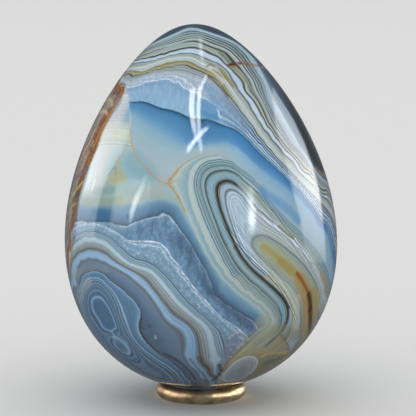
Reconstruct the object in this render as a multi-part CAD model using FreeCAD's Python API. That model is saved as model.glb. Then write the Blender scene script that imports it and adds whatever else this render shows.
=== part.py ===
import FreeCAD, Part

import math
import os

# A polished agate egg standing in a small cast bronze ring. Millimetres, +Z up.
# The origin is the centre of the ring on the surface that it stands on, +X is to the viewer's right
# and +Y points away from the viewer. Both pieces are loose: the egg only rests in the ring.

# Egg
egg_length = 90.0
egg_width = 67.2
# The half section is an ellipse whose width is multiplied by a cubic in the place along the axis, which
# runs from -1 at the blunt end to +1 at the tip. These are the cubic's terms.
egg_taper_share = 0.225
egg_flank_share = 0.039
egg_tip_share = 0.030
# The egg was set down by hand, so its tip leans a little to the viewer's left.
egg_lean_angle = 2.0
# Points of the section curve on each side of the axis's middle
egg_section_steps = 14

# Ring
ring_outer_diameter = 22.6
ring_bar_diameter = 3.8
# The underside is filed flat by this depth, so that the ring doesn't rock.
ring_foot_depth = 0.2

# Clearance between the egg's skin and the ring where the egg sits
seat_gap = 0.1

ring_bar_radius = ring_bar_diameter / 2
ring_centre_radius = ring_outer_diameter / 2 - ring_bar_radius
ring_bar_height = ring_bar_radius - ring_foot_depth

AXIS_POINT = FreeCAD.Vector(0, 0, 0)
UP = FreeCAD.Vector(0, 0, 1)
TOWARDS_VIEWER = FreeCAD.Vector(0, -1, 0)
FULL_TURN = 360.0
QUARTER_TURN = math.pi / 2


def width_share(place):
    """How far the section's width is from an ellipse's, at a place along the axis from -1 to +1."""
    return 1 - egg_taper_share * place - egg_flank_share * place**2 - egg_tip_share * place**3


def unit_radius(angle):
    """Section radius for an ellipse of half width 1, with the place along the axis given as an angle."""
    return math.cos(angle) * width_share(math.sin(angle))


def section_angles(steps):
    return [QUARTER_TURN * step / steps for step in range(-steps, steps + 1)]


def ellipse_half_width():
    """Half width of the starting ellipse that makes the finished egg egg_width wide."""
    fine_steps = egg_section_steps**2
    return egg_width / 2 / max(unit_radius(angle) for angle in section_angles(fine_steps))


def section_point(angle):
    """(radius, height above the blunt end) of the egg's skin."""
    return ellipse_half_width() * unit_radius(angle), egg_length / 2 * (1 + math.sin(angle))


def section_normal(angle):
    """Unit (radius, height) vector out of the skin, from two points close beside the place."""
    nudge = QUARTER_TURN / egg_section_steps**3
    radius_before, height_before = section_point(angle - nudge)
    radius_after, height_after = section_point(angle + nudge)
    run = math.hypot(radius_after - radius_before, height_after - height_before)
    return (height_after - height_before) / run, (radius_before - radius_after) / run


def seat():
    """Heights above the surface: of the egg's blunt end, and of the point that the egg tilts about.

    The skin, moved outward by the bar's radius and the gap, has to pass through the bar's centre.
    """
    reach = ring_bar_radius + seat_gap
    low, high = -QUARTER_TURN, 0.0
    for _ in range(egg_section_steps * 4):
        middle = (low + high) / 2
        if section_point(middle)[0] + reach * section_normal(middle)[0] < ring_centre_radius:
            low = middle
        else:
            high = middle
    radius, height = section_point(low)
    out_radius, out_height = section_normal(low)
    blunt_end = ring_bar_height - (height + reach * out_height)
    tilt_point = ring_bar_height - ring_centre_radius * out_height / out_radius
    return blunt_end, tilt_point


def make_egg():
    """Egg turned about its axis, set down in the ring and leaned about its seat's centre."""
    blunt_end, tilt_point = seat()
    points = []
    for angle in section_angles(egg_section_steps):
        radius, height = section_point(angle)
        points.append(FreeCAD.Vector(radius, 0, blunt_end + height))
    points[0].x = 0
    points[-1].x = 0
    outward = FreeCAD.Vector(1, 0, 0)
    curve = Part.BSplineCurve()
    curve.interpolate(Points=points, InitialTangent=outward, FinalTangent=-outward)
    half_section = Part.Wire([curve.toShape(), Part.makeLine(points[-1], points[0])])
    egg = Part.Face(half_section).revolve(AXIS_POINT, UP, FULL_TURN)
    egg.rotate(UP * tilt_point, TOWARDS_VIEWER, egg_lean_angle)
    return egg


def make_ring():
    """Round bar bent into a closed ring, with its underside filed flat."""
    half_foot = math.sqrt(ring_bar_radius**2 - ring_bar_height**2)
    inner_foot = FreeCAD.Vector(ring_centre_radius - half_foot, 0, 0)
    outer_foot = FreeCAD.Vector(ring_centre_radius + half_foot, 0, 0)
    bar_top = FreeCAD.Vector(ring_centre_radius, 0, ring_bar_height + ring_bar_radius)
    round_side = Part.Arc(inner_foot, bar_top, outer_foot).toShape()
    section = Part.Wire([round_side, Part.makeLine(outer_foot, inner_foot)])
    return Part.Face(section).revolve(AXIS_POINT, UP, FULL_TURN)


def export(name, shape):
    """Writes one closed solid as parts/NAME.step and prints its size."""
    solid = shape if shape.ShapeType == "Solid" else Part.Solid(shape.Shells[0])
    if solid.Volume < 0:
        solid.reverse()
    solid.exportStep("parts/" + name + ".step")
    box = solid.BoundBox
    print(name, "valid", solid.isValid(), "volume", round(solid.Volume, 1), "box", box)


os.makedirs("parts", exist_ok=True)
export("agate_egg", make_egg())
export("bronze_ring", make_ring())
print("blunt end and tilt point heights", seat())
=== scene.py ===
import bpy
import math
import numpy as np
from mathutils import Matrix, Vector


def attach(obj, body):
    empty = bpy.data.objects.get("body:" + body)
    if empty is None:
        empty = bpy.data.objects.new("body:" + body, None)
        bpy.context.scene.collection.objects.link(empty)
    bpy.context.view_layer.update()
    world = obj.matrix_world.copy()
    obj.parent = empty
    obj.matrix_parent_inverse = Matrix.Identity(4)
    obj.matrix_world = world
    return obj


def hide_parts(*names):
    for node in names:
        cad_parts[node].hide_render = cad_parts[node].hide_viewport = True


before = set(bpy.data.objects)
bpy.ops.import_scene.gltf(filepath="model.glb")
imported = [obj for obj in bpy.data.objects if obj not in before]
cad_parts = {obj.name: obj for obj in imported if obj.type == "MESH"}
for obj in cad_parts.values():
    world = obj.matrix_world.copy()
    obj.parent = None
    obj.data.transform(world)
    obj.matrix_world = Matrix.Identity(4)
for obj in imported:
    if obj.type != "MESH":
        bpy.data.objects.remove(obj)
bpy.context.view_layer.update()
print("frame loaded", list(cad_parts))

# Metres everywhere in the scene. The stone's pattern is worked out in millimetres, and its guide lines are
# written in pixels of the 416 x 416 picture that the camera takes, then dropped onto the egg's skin.

cameraValues = {
    "picturePixels": 416,
    "focalPixels": 2050.0,
    "sensorWidth": 36.0,      # mm
    "distance": 505.9,        # mm from the aim point
    "aim": (1.7, 0.0, 47.2),  # mm
    "pitch": 7.6,             # degrees, looking down
    "clipStart": 0.01,        # m
    "searchBefore": 60,       # mm before the aim point's distance where a ray starts to look for the skin
    "searchBehind": 20,       # mm behind it where the ray stops
    "searchSteps": 1601,
}

eggShape = {
    "length": 90.0,         # mm, as the width is
    "width": 67.2,
    "taper": 0.225,         # this, flank and tip are the three factors of the section's cubic
    "flank": 0.039,
    "tip": 0.030,
    "lean": 2.0,            # degrees, tip towards -X
    "bluntEnd": 2.4945,     # mm above the table before the egg leans
    "tiltPoint": 37.5317,   # mm above the table, the point that it leans about
    "rows": 266,
    "columns": 372,
    "frontShare": 0.76,     # how crowded columns are where the camera looks, to the rest of 1 behind
    "frontTurn": 1.9,       # radians each way that this side reaches
    "frontBlend": 0.5,      # radians over which the columns spread out again
    "samples": 4001,        # steps in which widths and runs are measured
}


def linear(hexColour):
    # sRGB hex to linear: ((c + 0.055) / 1.055) ^ 2.4 above 0.04045, c / 12.92 below
    parts = [int(hexColour[i:i + 2], 16) / 255 for i in (1, 3, 5)]
    return tuple(c / 12.92 if c <= 0.04045 else ((c + 0.055) / 1.055) ** 2.4 for c in parts) + (1.0,)


def newObject(name, data):
    # an object at the origin for a mesh, lamp or camera
    made = bpy.data.objects.new(name, data)
    bpy.context.collection.objects.link(made)
    return made


# Camera: straight on, looking down by the pitch

pitch = math.radians(cameraValues["pitch"])
aimPoint = np.array(cameraValues["aim"])
cameraForward = np.array([0, math.cos(pitch), -math.sin(pitch)])
cameraUp = np.array([0, math.sin(pitch), math.cos(pitch)])
cameraRight = np.array([1.0, 0, 0])
cameraPlace = aimPoint - cameraForward * cameraValues["distance"]

cameraData = bpy.data.cameras.new("camera")
cameraData.sensor_width = cameraValues["sensorWidth"]
cameraData.lens = cameraValues["focalPixels"] / cameraValues["picturePixels"] * cameraValues["sensorWidth"]
cameraData.clip_start = cameraValues["clipStart"]
camera = newObject("camera", cameraData)
camera.location = Vector(cameraPlace / 1000)
camera.rotation_euler = (math.pi / 2 - pitch, 0, 0)
bpy.context.scene.camera = camera
bpy.context.scene.view_settings.view_transform = "Standard"
print("camera", camera.location[:], "lens", cameraData.lens)


# Egg's skin

def sectionRadius(place):
    # half width at a place from -1 (blunt) to +1 (tip): an ellipse's, times a cubic that narrows it
    shape = lambda p: np.sqrt(np.clip(1 - p**2, 0, None)) * (
        1 - eggShape["taper"] * p - eggShape["flank"] * p**2 - eggShape["tip"] * p**3)
    widest = shape(np.linspace(-1, 1, eggShape["samples"])).max()
    return eggShape["width"] / 2 * shape(np.asarray(place, float)) / widest


leanAngle = math.radians(eggShape["lean"])
leanTurn = np.array([[math.cos(leanAngle), 0, -math.sin(leanAngle)],
                     [0, 1, 0],
                     [math.sin(leanAngle), 0, math.cos(leanAngle)]])
tiltPoint = np.array([0, 0, eggShape["tiltPoint"]])


def eggPoints(place, angle):
    # a turned section, leaned about the tilt point: radius * (cos, sin), height above the blunt end
    radius = sectionRadius(place)
    upright = np.stack([radius * np.cos(angle), radius * np.sin(angle),
                        eggShape["bluntEnd"] + eggShape["length"] / 2 * (1 + place)], -1)
    return (upright - tiltPoint) @ leanTurn.T + tiltPoint


def skinGap(points):
    # how far a point is outside the skin, measured square to the axis
    upright = (points - tiltPoint) @ leanTurn + tiltPoint
    place = (upright[..., 2] - eggShape["bluntEnd"]) / (eggShape["length"] / 2) - 1
    beyond = np.clip(np.abs(place) - 1, 0, None) * eggShape["length"] / 2
    return np.hypot(upright[..., 0], upright[..., 1]) - sectionRadius(np.clip(place, -1, 1)) + beyond


def dropOnEgg(pixels):
    # the first point of each pixel's ray on the skin; a ray that misses takes the point nearest to it
    pixels = np.asarray(pixels, float)
    half = cameraValues["picturePixels"] / 2
    rays = (cameraForward + (pixels[:, :1] - half) / cameraValues["focalPixels"] * cameraRight
            - (pixels[:, 1:2] - half) / cameraValues["focalPixels"] * cameraUp)
    depths = np.linspace(cameraValues["distance"] - cameraValues["searchBefore"],
                         cameraValues["distance"] + cameraValues["searchBehind"],
                         cameraValues["searchSteps"])
    gaps = skinGap(cameraPlace + rays[:, None] * depths[None, :, None])
    hit = gaps < 0
    first = np.where(hit.any(1), hit.argmax(1), gaps.argmin(1))
    return cameraPlace + rays * depths[first][:, None]


# Pattern of the stone. Each family of bands is one smooth number over the skin, and its lines of equal
# value are the bands. A guide line says what that number is along it.

crownGuides = [
    (0, [(143, 48), (150, 45), (160, 40.5), (170, 36), (180, 31.5), (187, 28.5), (192, 28), (198, 28.5),
         (205, 31), (215, 34.5), (225, 38), (232, 41), (240, 46), (247, 52), (252, 57), (259, 67.5),
         (265.6, 80), (270.3, 90), (274, 99), (280, 110), (287, 123), (295, 137), (304, 152), (313, 167),
         (324, 180), (331, 189)]),
    (5, [(150, 48), (160, 44), (170, 40), (180, 36.5), (190, 34), (200, 34.5), (210, 37.5), (218, 40.3),
         (231, 46), (236, 50), (246, 62), (254.5, 74.5), (258.6, 80), (262.5, 90), (266, 100), (271, 110),
         (277, 120), (284, 132), (293, 146)]),
    (9.8, [(148, 51), (158, 47.5), (170, 43.5), (180, 40.5), (190, 38), (200, 38.5), (215, 44), (222, 46.5),
         (229, 50), (237, 57.5), (241, 62), (250, 75), (253.5, 80), (257.6, 90), (262.8, 100), (267.5, 110),
         (272, 119), (278, 129), (286, 141)]),
    (13.8, [(146, 54), (155, 50.5), (165, 47), (175, 44.5), (185, 42), (195, 41.5), (203, 44), (210, 47),
         (218, 49.5), (224, 52), (227, 54.5), (235, 64), (241, 70), (248.6, 80), (252.5, 90), (259.2, 100),
         (264.4, 110), (268.3, 120), (274.7, 130.5), (281.8, 140), (292.3, 152), (301.5, 162.5), (313, 174),
         (326, 189)]),
    (18.6, [(131, 60.5), (140, 59), (150, 57.3), (160, 54.5), (170, 51.2), (182, 48.3), (190, 47.5),
         (197, 48), (205, 50.5), (218, 57), (223, 62), (232.2, 70), (241, 80), (243.5, 84), (244.6, 90),
         (253.2, 100), (259.5, 110), (265, 120), (272.3, 131), (279, 140.3), (289, 152.5), (298.5, 163),
         (309, 174)]),
    (20.6, [(130, 62.5), (140, 61), (150, 59.7), (160, 57), (170, 53.8), (180, 51), (190, 50.3),
         (200, 52.5), (215, 58.5), (221, 62), (229, 70), (237, 80), (242, 90), (249.7, 100), (255.6, 110),
         (261.4, 120), (266, 128), (275.5, 140.3), (286, 153.8), (296.5, 165.5), (307, 177), (320, 193)]),
    (22.6, [(135, 64), (145, 62.5), (155, 60.5), (165, 57.5), (175, 55), (185, 53.5), (195, 54.5),
         (204, 58), (212, 61), (220, 65), (226.4, 70), (232, 80), (237.5, 90), (245.7, 100), (251.2, 110),
         (257.4, 120), (263, 128.5), (271.7, 140), (281.7, 151), (295, 165)]),
    (26, [(215, 66), (222, 70.5), (228.6, 80), (235, 90), (242, 100), (248.6, 110), (255, 120), (261, 130)]),
    (29.5, [(127, 67), (135, 68.5), (142, 68), (150, 65), (158, 62), (167, 59.5), (176, 58), (186, 57.5),
         (194, 59.5), (207, 66.5), (217, 71.5), (224, 80), (231, 90), (238.4, 100), (245.4, 110),
         (252.5, 120), (259.5, 130), (266, 139.5), (275, 151), (285, 162), (295, 173), (305, 183),
         (318, 196), (332, 213)]),
    (33, [(121, 76), (125, 72.5), (130, 71), (135, 71), (140, 72), (145, 71.2), (160, 66.2), (170, 63.2),
         (180, 61.6), (186, 61.5), (191, 63), (206, 70.5), (211, 72.5), (215, 75), (220, 80), (227.3, 90),
         (234.6, 100), (242, 110), (249.4, 120), (257, 130.5)]),
    (36, [(133, 76.5), (140, 75), (150, 72.5), (160, 69.7), (170, 67.3), (178, 65.3), (184, 64.8),
         (195, 69.2), (210, 76.3), (217.2, 80.5), (224.7, 90.2), (232.2, 100.2), (239.7, 110.4),
         (247.5, 120.4), (255, 130.8), (265, 144), (271.7, 151), (280, 161), (289.2, 170.5), (297.5, 179),
         (306, 188), (318, 201), (331, 217)]),
    (41.5, [(122, 80), (128, 80.5), (135, 79), (145, 75.8), (155, 72.8), (165, 71.2), (175, 70.7),
         (185, 72), (195, 75), (208, 79.5), (213.5, 83), (221, 91), (229, 101.3), (237, 111.5), (245, 122),
         (252, 130.5), (262, 143), (272, 155.5), (283, 167)]),
    (46, [(126, 83.5), (130, 84.3), (143, 79.3), (150, 77.4), (160, 77), (165, 76), (180, 79), (187, 82.3),
         (192, 86), (208, 91), (216, 97), (225, 105.5), (233, 113.5), (241, 122), (250, 132), (260, 144)]),
    (50, [(124, 85), (127, 87.5), (137, 85.6), (145, 82.3), (151, 81), (160, 80.4), (166, 79.3), (172, 81),
         (178, 83.5), (190, 91), (203, 98), (213, 103.5), (220, 109), (228, 115), (236, 121.5), (242, 127),
         (250, 135.5), (257, 143.5), (265, 152), (272, 159.5), (280, 167.5), (288, 175.5), (297, 183),
         (310, 197), (330, 221)]),
    (74, [(116, 101), (129, 101.5), (135, 102), (140, 101.5), (150, 104), (160, 108), (170, 110),
         (180, 113.5), (190, 118), (199, 119.7), (208, 119.8), (215, 122), (222, 125), (230, 127.5),
         (236, 130), (242, 134.5), (250, 142), (257, 150), (264, 157), (270, 162.5), (277, 169),
         (284, 175.5), (291, 182), (300, 191), (312, 206), (322, 222), (332, 241)]),
    (100, [(130, 112), (136, 115), (145, 121), (155, 127.5), (165, 134), (175, 140), (185, 145), (195, 146),
         (205, 145), (215, 144), (224, 144), (232, 147), (240, 153), (250, 162.5), (260, 172), (270, 181),
         (280, 188.5), (290, 195), (300, 203), (312, 216), (326, 235)]),
    (130, [(134, 140), (150, 152), (165, 160), (180, 159), (195, 153), (208, 151), (220, 151), (232, 154),
         (245, 166), (258, 180), (270, 192), (282, 204), (295, 217), (312, 236)]),
    (150, [(165, 180), (180, 172)]),
]
loopGuides = [
    (-8, [(208, 154.5), (202, 155.5), (196, 157.5), (186, 162.5), (181, 166.5), (175, 174), (168.5, 183.5),
         (173, 188.5), (177, 194.5), (181, 202), (184, 209), (189, 219.5), (195, 232), (202, 246),
         (209, 259.5), (218, 273), (228, 285), (240, 296), (252, 305), (262, 313), (267, 321), (264, 327),
         (257, 331), (250, 337), (240, 346), (230, 356), (222, 371), (220, 153), (232, 155.5), (245, 166),
         (258, 179), (270, 191.5), (283, 205), (298, 220.5), (312, 236), (325, 252), (334, 268)]),
    (-1.5, [(186, 190), (188, 200), (191, 211), (195.5, 222), (200, 232), (204, 242), (208.5, 251),
         (214, 261), (223, 274), (234, 285), (246, 295), (257, 303.5), (265, 311), (269, 318), (268, 325),
         (261, 330)]),
    (2, [(208, 157.8), (200, 162), (194, 169), (191, 180), (191, 190), (193, 200), (197, 212), (201.5, 223),
         (206.5, 234), (211.5, 245), (218, 257), (226, 269.5), (236, 281), (248, 292), (260, 301),
         (269, 309.5), (273, 318), (272, 326), (266, 331), (258, 336), (220, 156.5), (232, 159),
         (245, 169.5), (258, 182)]),
    (6.5, [(277, 318), (270, 308), (260, 300), (246, 289), (234, 277), (226, 265), (219, 251), (214, 241),
         (209, 230.5), (204.6, 220), (201, 210), (197.6, 200), (194.8, 190), (194.3, 181), (196.3, 172),
         (200.5, 166), (206, 162.2), (213, 160.5), (222, 160), (230, 161.2), (238, 166.5), (246, 172.5),
         (254, 179), (261, 185.5), (266, 193), (272, 204), (280, 213), (288, 221), (296, 228), (304, 236),
         (312, 245), (319, 254), (325, 266), (329, 280), (277, 325), (271, 332), (263, 338), (252, 345)]),
    (17.5, [(280, 313), (278, 308), (271, 299), (263, 291), (255, 284), (247, 277), (240, 269.5),
         (234, 261), (228.2, 250), (223, 240), (219, 230), (215.4, 220), (211.6, 210), (208.2, 200),
         (205.9, 190), (206.3, 181), (209, 176), (214, 172.6), (220, 171), (226, 170.6), (231, 171.8),
         (243, 180.7), (249, 185.6), (256, 192), (262, 199.5), (268, 206), (275, 213), (283, 221),
         (292, 230), (300, 238), (308, 246.5), (316, 257), (321, 267), (325, 279), (281, 320), (279, 328),
         (270, 336), (258, 344)]),
    (30, [(280, 333), (284.5, 326), (287.5, 319), (288.3, 312), (287, 305), (283, 298), (275, 289.5),
         (266, 281.5), (257, 274.5), (250, 267.5), (244, 260), (238.3, 250), (233.2, 240), (228.8, 230),
         (224.5, 220), (220.8, 210), (218.2, 200), (217.3, 190), (218.6, 185), (222, 182.3), (228, 181.3),
         (233, 183), (246, 193.5), (253, 202), (260, 210.5), (268, 218), (277, 224.5), (286, 232.5),
         (295, 240), (303, 248.5), (310, 258), (316, 269), (320, 281), (323, 292)]),
    (37.5, [(225.3, 195), (225.6, 200), (227.4, 210), (230.2, 220), (233.6, 230), (236.6, 239), (241, 248),
         (246, 256), (252, 263), (260, 270), (268, 277), (277, 285), (285, 293), (290, 301), (292, 311),
         (292, 321), (289, 332), (227, 191), (231, 189.7), (236, 191), (241, 195), (246, 202), (252, 210),
         (259, 217), (267, 224), (276, 230.5), (286, 238.5), (295, 247), (304, 255), (311, 264.5),
         (317, 276), (321, 287)]),
    (46, [(233, 201), (235, 212), (238, 225), (242, 237), (246.5, 246), (251, 253.5), (256, 260),
         (264, 267.5), (272, 274.5), (280, 281.5), (287.5, 288.5), (292.5, 296), (295.5, 306), (296.5, 319),
         (296, 333), (241, 204), (247, 214), (255, 223.5), (263, 229), (271, 233), (283, 240.5), (295, 250),
         (303, 257.8), (309, 265.5), (314, 274), (318, 283), (321.5, 293)]),
    (58, [(300, 338), (300.5, 326), (300.5, 312), (299, 300), (295.5, 291.5), (290, 285), (283, 278.5),
         (275, 271.5), (267, 264.5), (259, 256.5), (253.5, 249), (252, 243), (255, 238), (260, 235.5),
         (266, 236.5), (273, 240), (281, 245), (288, 250.5), (295, 256.5), (305, 267), (311, 275),
         (315.5, 283), (319, 292)]),
    (70, [(262, 247), (268, 251.5), (276, 257.5), (285, 264), (295, 272), (303, 282), (308, 293),
         (310, 306), (310, 318), (309, 332)]),
]
slateGuides = [
    (0, [(112, 223.5), (120, 225.5), (127, 226), (140, 221), (152, 217.6), (158, 216.8), (163, 214.3),
         (167, 214.8), (171, 218), (181, 230.3), (186, 237.3), (191, 245.3), (196, 254), (201, 263),
         (206, 272), (210, 281), (215.5, 297), (220, 299.3), (223, 303), (228, 305.3), (235, 310),
         (243, 315), (251, 320), (256, 324.5), (258, 329)]),
    (8, [(75, 208), (90, 208), (105, 208), (120, 208), (130, 208), (140, 207), (152, 204), (165, 202),
         (173, 205), (181, 214), (188, 226), (195, 239), (202, 252), (209.5, 265), (218, 279), (229, 291),
         (241, 301), (253, 310), (262, 319)]),
    (-14, [(146, 234), (156, 231), (164, 233), (172, 243), (180, 256), (188, 269), (195, 281), (204, 293),
         (214, 304), (229, 316), (244, 327)]),
    (24, [(90, 170), (110, 170), (130, 170), (150, 178), (165, 184)]),
]
nestGuides = [
    (0, [(70, 234), (76, 226.5), (84, 223.7), (95, 223.5), (104, 226), (112, 230), (120, 234.5),
         (127, 239.7), (133, 240.8), (141, 240.3), (150, 240.3), (157, 241.5), (163, 245), (168, 250),
         (171, 256), (180, 267), (183, 273), (188, 278), (192, 284), (202, 296), (208, 302.5), (214, 309.5),
         (222, 317.5), (230, 323), (238, 328), (245, 334), (248.5, 340.5), (241, 347.5), (233, 355.5),
         (226, 364), (223, 374)]),
    (19.3, [(70, 243), (76, 236), (84, 232), (95, 231.5), (103, 234.3), (110, 238), (117, 244),
         (124, 250.3), (131, 256.5), (140, 260.2), (150, 263.5), (157, 268), (163, 273.7), (170, 281.3),
         (177, 290), (183, 297.3), (190, 304.5), (197, 311), (205, 317.5), (212, 324), (218, 331),
         (222, 340), (224, 350), (225, 361)]),
    (28, [(71, 253), (75, 247), (81, 242.7), (90, 240.6), (99, 241.7), (107, 246), (114, 252), (122, 259),
         (130, 264.5), (140, 267.7), (150, 271.3), (157, 277.3), (163, 284.3), (170, 293), (177, 301.7),
         (185, 309.3), (193, 316), (200, 321.7), (206, 329), (210.5, 339), (212.5, 350), (212, 360),
         (215, 369), (219, 376)]),
    (36, [(71, 264), (75.5, 256), (81.5, 251), (90, 248.3), (99, 249.3), (107, 253.3), (114, 259.5),
         (120, 264), (128, 268), (137, 272.5), (145, 278), (153, 287), (161, 297.5), (169, 308),
         (177, 315.5), (186, 321.5), (193, 328), (198, 337), (199.5, 347), (202, 358), (208, 368),
         (214, 377)]),
    (44, [(74, 284), (73.8, 273), (75.5, 264.5), (80, 258.5), (88, 255.8), (96, 256.4), (105, 260),
         (113, 264.7), (120, 268.7), (128, 273), (136, 279), (144, 286), (150, 293), (156, 301),
         (161.5, 309.5), (167, 318), (176, 324.5), (184, 329.5), (188, 337), (188.5, 346), (187, 354),
         (190, 361.5), (196, 369), (203, 378)]),
    (51, [(78.5, 288), (78.5, 276), (81, 268), (86, 263.8), (93, 262.6), (101, 264.5), (110, 269),
         (119, 274), (129, 280.5), (139, 289), (148, 299.5), (155, 310), (161, 320), (169, 329.5),
         (176, 338), (179, 348), (181.5, 358), (188, 367), (196, 377)]),
    (62, [(118, 280), (130, 290.5), (142, 304), (151, 318), (157, 332), (165, 345), (174, 357), (186, 369),
         (195, 381)]),
    (66, [(150, 325), (160, 340)]),
    (72, [(80, 296), (80, 286), (82, 277.5), (86, 273.3), (92, 271.2), (98, 271.6), (104, 274.3),
         (116, 284.7), (123, 290), (130, 296.7), (136, 303), (140, 309.5), (140.3, 316), (138.3, 323),
         (139, 331), (143.5, 339.5), (151, 347.5), (161, 355.5), (172, 362.5), (182, 370.5), (190, 381)]),
    (76, [(118, 292), (127, 300), (133.5, 309), (134, 320), (134.5, 331)]),
    (80, [(82.8, 292), (84.5, 284), (88.5, 279.3), (94, 277.8), (100.5, 279.5), (107, 285), (113.5, 292),
         (118.5, 300.5), (122.5, 311), (127, 323), (131, 334), (138, 344), (148, 353), (161, 362),
         (173, 370), (183, 381)]),
    (86, [(84.8, 298), (87, 288.5), (91, 284), (96, 282.8), (102, 285.5), (108, 292), (113, 301),
         (117, 312), (120, 322), (125, 334), (133, 345), (143, 355), (155, 364), (167, 373)]),
    (100, [(92, 305), (92.5, 300.5), (95.5, 298), (101, 298.7), (105, 303), (109.5, 310.5), (113.5, 319),
         (116, 328), (115, 335), (106, 329.5), (100.5, 322), (96, 314.5)]),
    (106, [(99, 307), (104, 316), (108, 324)]),
    (93, [(106, 338), (110, 334.5), (116, 334.2), (122, 337.5), (129, 344), (134.3, 352), (133.5, 358.5),
         (126, 357), (117, 351), (110, 344)]),
    (102, [(116, 342), (121, 343.5), (126, 349.5), (123, 351), (118, 347)]),
]
leftGuides = [
    (0, [(125, 84), (127, 90), (129, 105), (129.3, 115), (129.5, 125), (131, 138), (133.5, 150), (137, 158),
         (143, 165), (150, 172), (162, 182.5), (168.5, 184), (180, 176), (190, 168), (205, 165), (225, 165),
         (245, 178), (265, 198), (285, 220), (310, 250), (330, 280)]),
    (10, [(112, 84), (116, 100), (118, 120), (120, 140), (123, 155), (130, 168), (142, 180), (155, 190)]),
    (-12, [(143, 84), (144, 100), (145, 120), (146, 140), (150, 155), (160, 168), (170, 170), (185, 152)]),
]
rustGuides = [
    (0, [(120, 82), (124.5, 88), (123.5, 94), (119.5, 102), (114, 110.5), (109, 119), (104, 128),
         (100, 138), (97.5, 147), (93, 158), (88, 170), (84.5, 180), (81, 191), (78.5, 202), (76.5, 214),
         (74, 226), (71, 238), (69.5, 250), (69, 262), (69, 275)]),
    (6, [(112, 88), (107, 100), (100, 112), (95, 125), (90, 138), (86, 150), (82, 163), (78, 176),
         (74, 190), (71, 203), (69, 216), (67.5, 230), (66.5, 245)]),
    (-10, [(135, 92), (130, 105), (123, 120), (117, 135), (111, 152), (105, 170), (99, 190), (93, 210),
         (90, 230), (86, 250), (84, 270)]),
]
khakiGuides = [
    (0, [(222, 376), (227, 367), (233, 359), (241, 352), (250, 347.5), (260, 346), (270, 344), (281, 334.5),
         (285, 339), (288, 345), (289, 351), (293, 353), (302, 347), (312, 334)]),
    (8, [(233, 372), (241, 363), (251, 357), (263, 354), (275, 353), (281, 355), (288, 362)]),
    (-8, [(221, 362), (229, 351), (238, 342), (249, 337), (260, 335), (270, 329), (281, 324), (291, 331),
         (298, 341)]),
]
# across the loop: below 0 on its left limb, rising over the spine to its right limb
sideGuides = [
    (-12, [(200, 160), (196, 190), (205, 225), (225, 262), (255, 292), (278, 312), (284, 330), (262, 340)]),
    (0, [(213, 148), (212, 158), (214, 172), (222, 195), (232, 215), (245, 240), (262, 262), (285, 284),
         (298, 300), (301, 318), (298, 336)]),
    (12, [(236, 150), (234, 165), (236, 185), (243, 205), (255, 228), (268, 246), (290, 262), (306, 282),
         (314, 306), (314, 330)]),
    (24, [(262, 160), (256, 180), (256, 196), (266, 215), (282, 236), (302, 254), (316, 272), (324, 296)]),
]
# square to the crown's bands: pixels along them from the left edge
needleGuides = [
    (0, [(130, 62), (130, 84), (130, 102), (131, 130)]),
    (20, [(146, 54), (150, 80), (150, 103), (150, 135)]),
    (50, [(180, 44), (180, 62), (180, 80), (180, 112), (180, 140)]),
    (72, [(205, 44), (203, 66), (200, 88), (198, 118), (200, 140)]),
    (92, [(228, 60), (220, 76), (213, 94), (208, 119), (212, 146)]),
    (122, [(252, 82), (238, 92), (230, 106), (222, 125), (226, 146)]),
    (160, [(274, 124), (262, 132), (252, 141), (243, 152)]),
    (200, [(300, 158), (289, 167), (279, 176), (268, 184)]),
]

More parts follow.
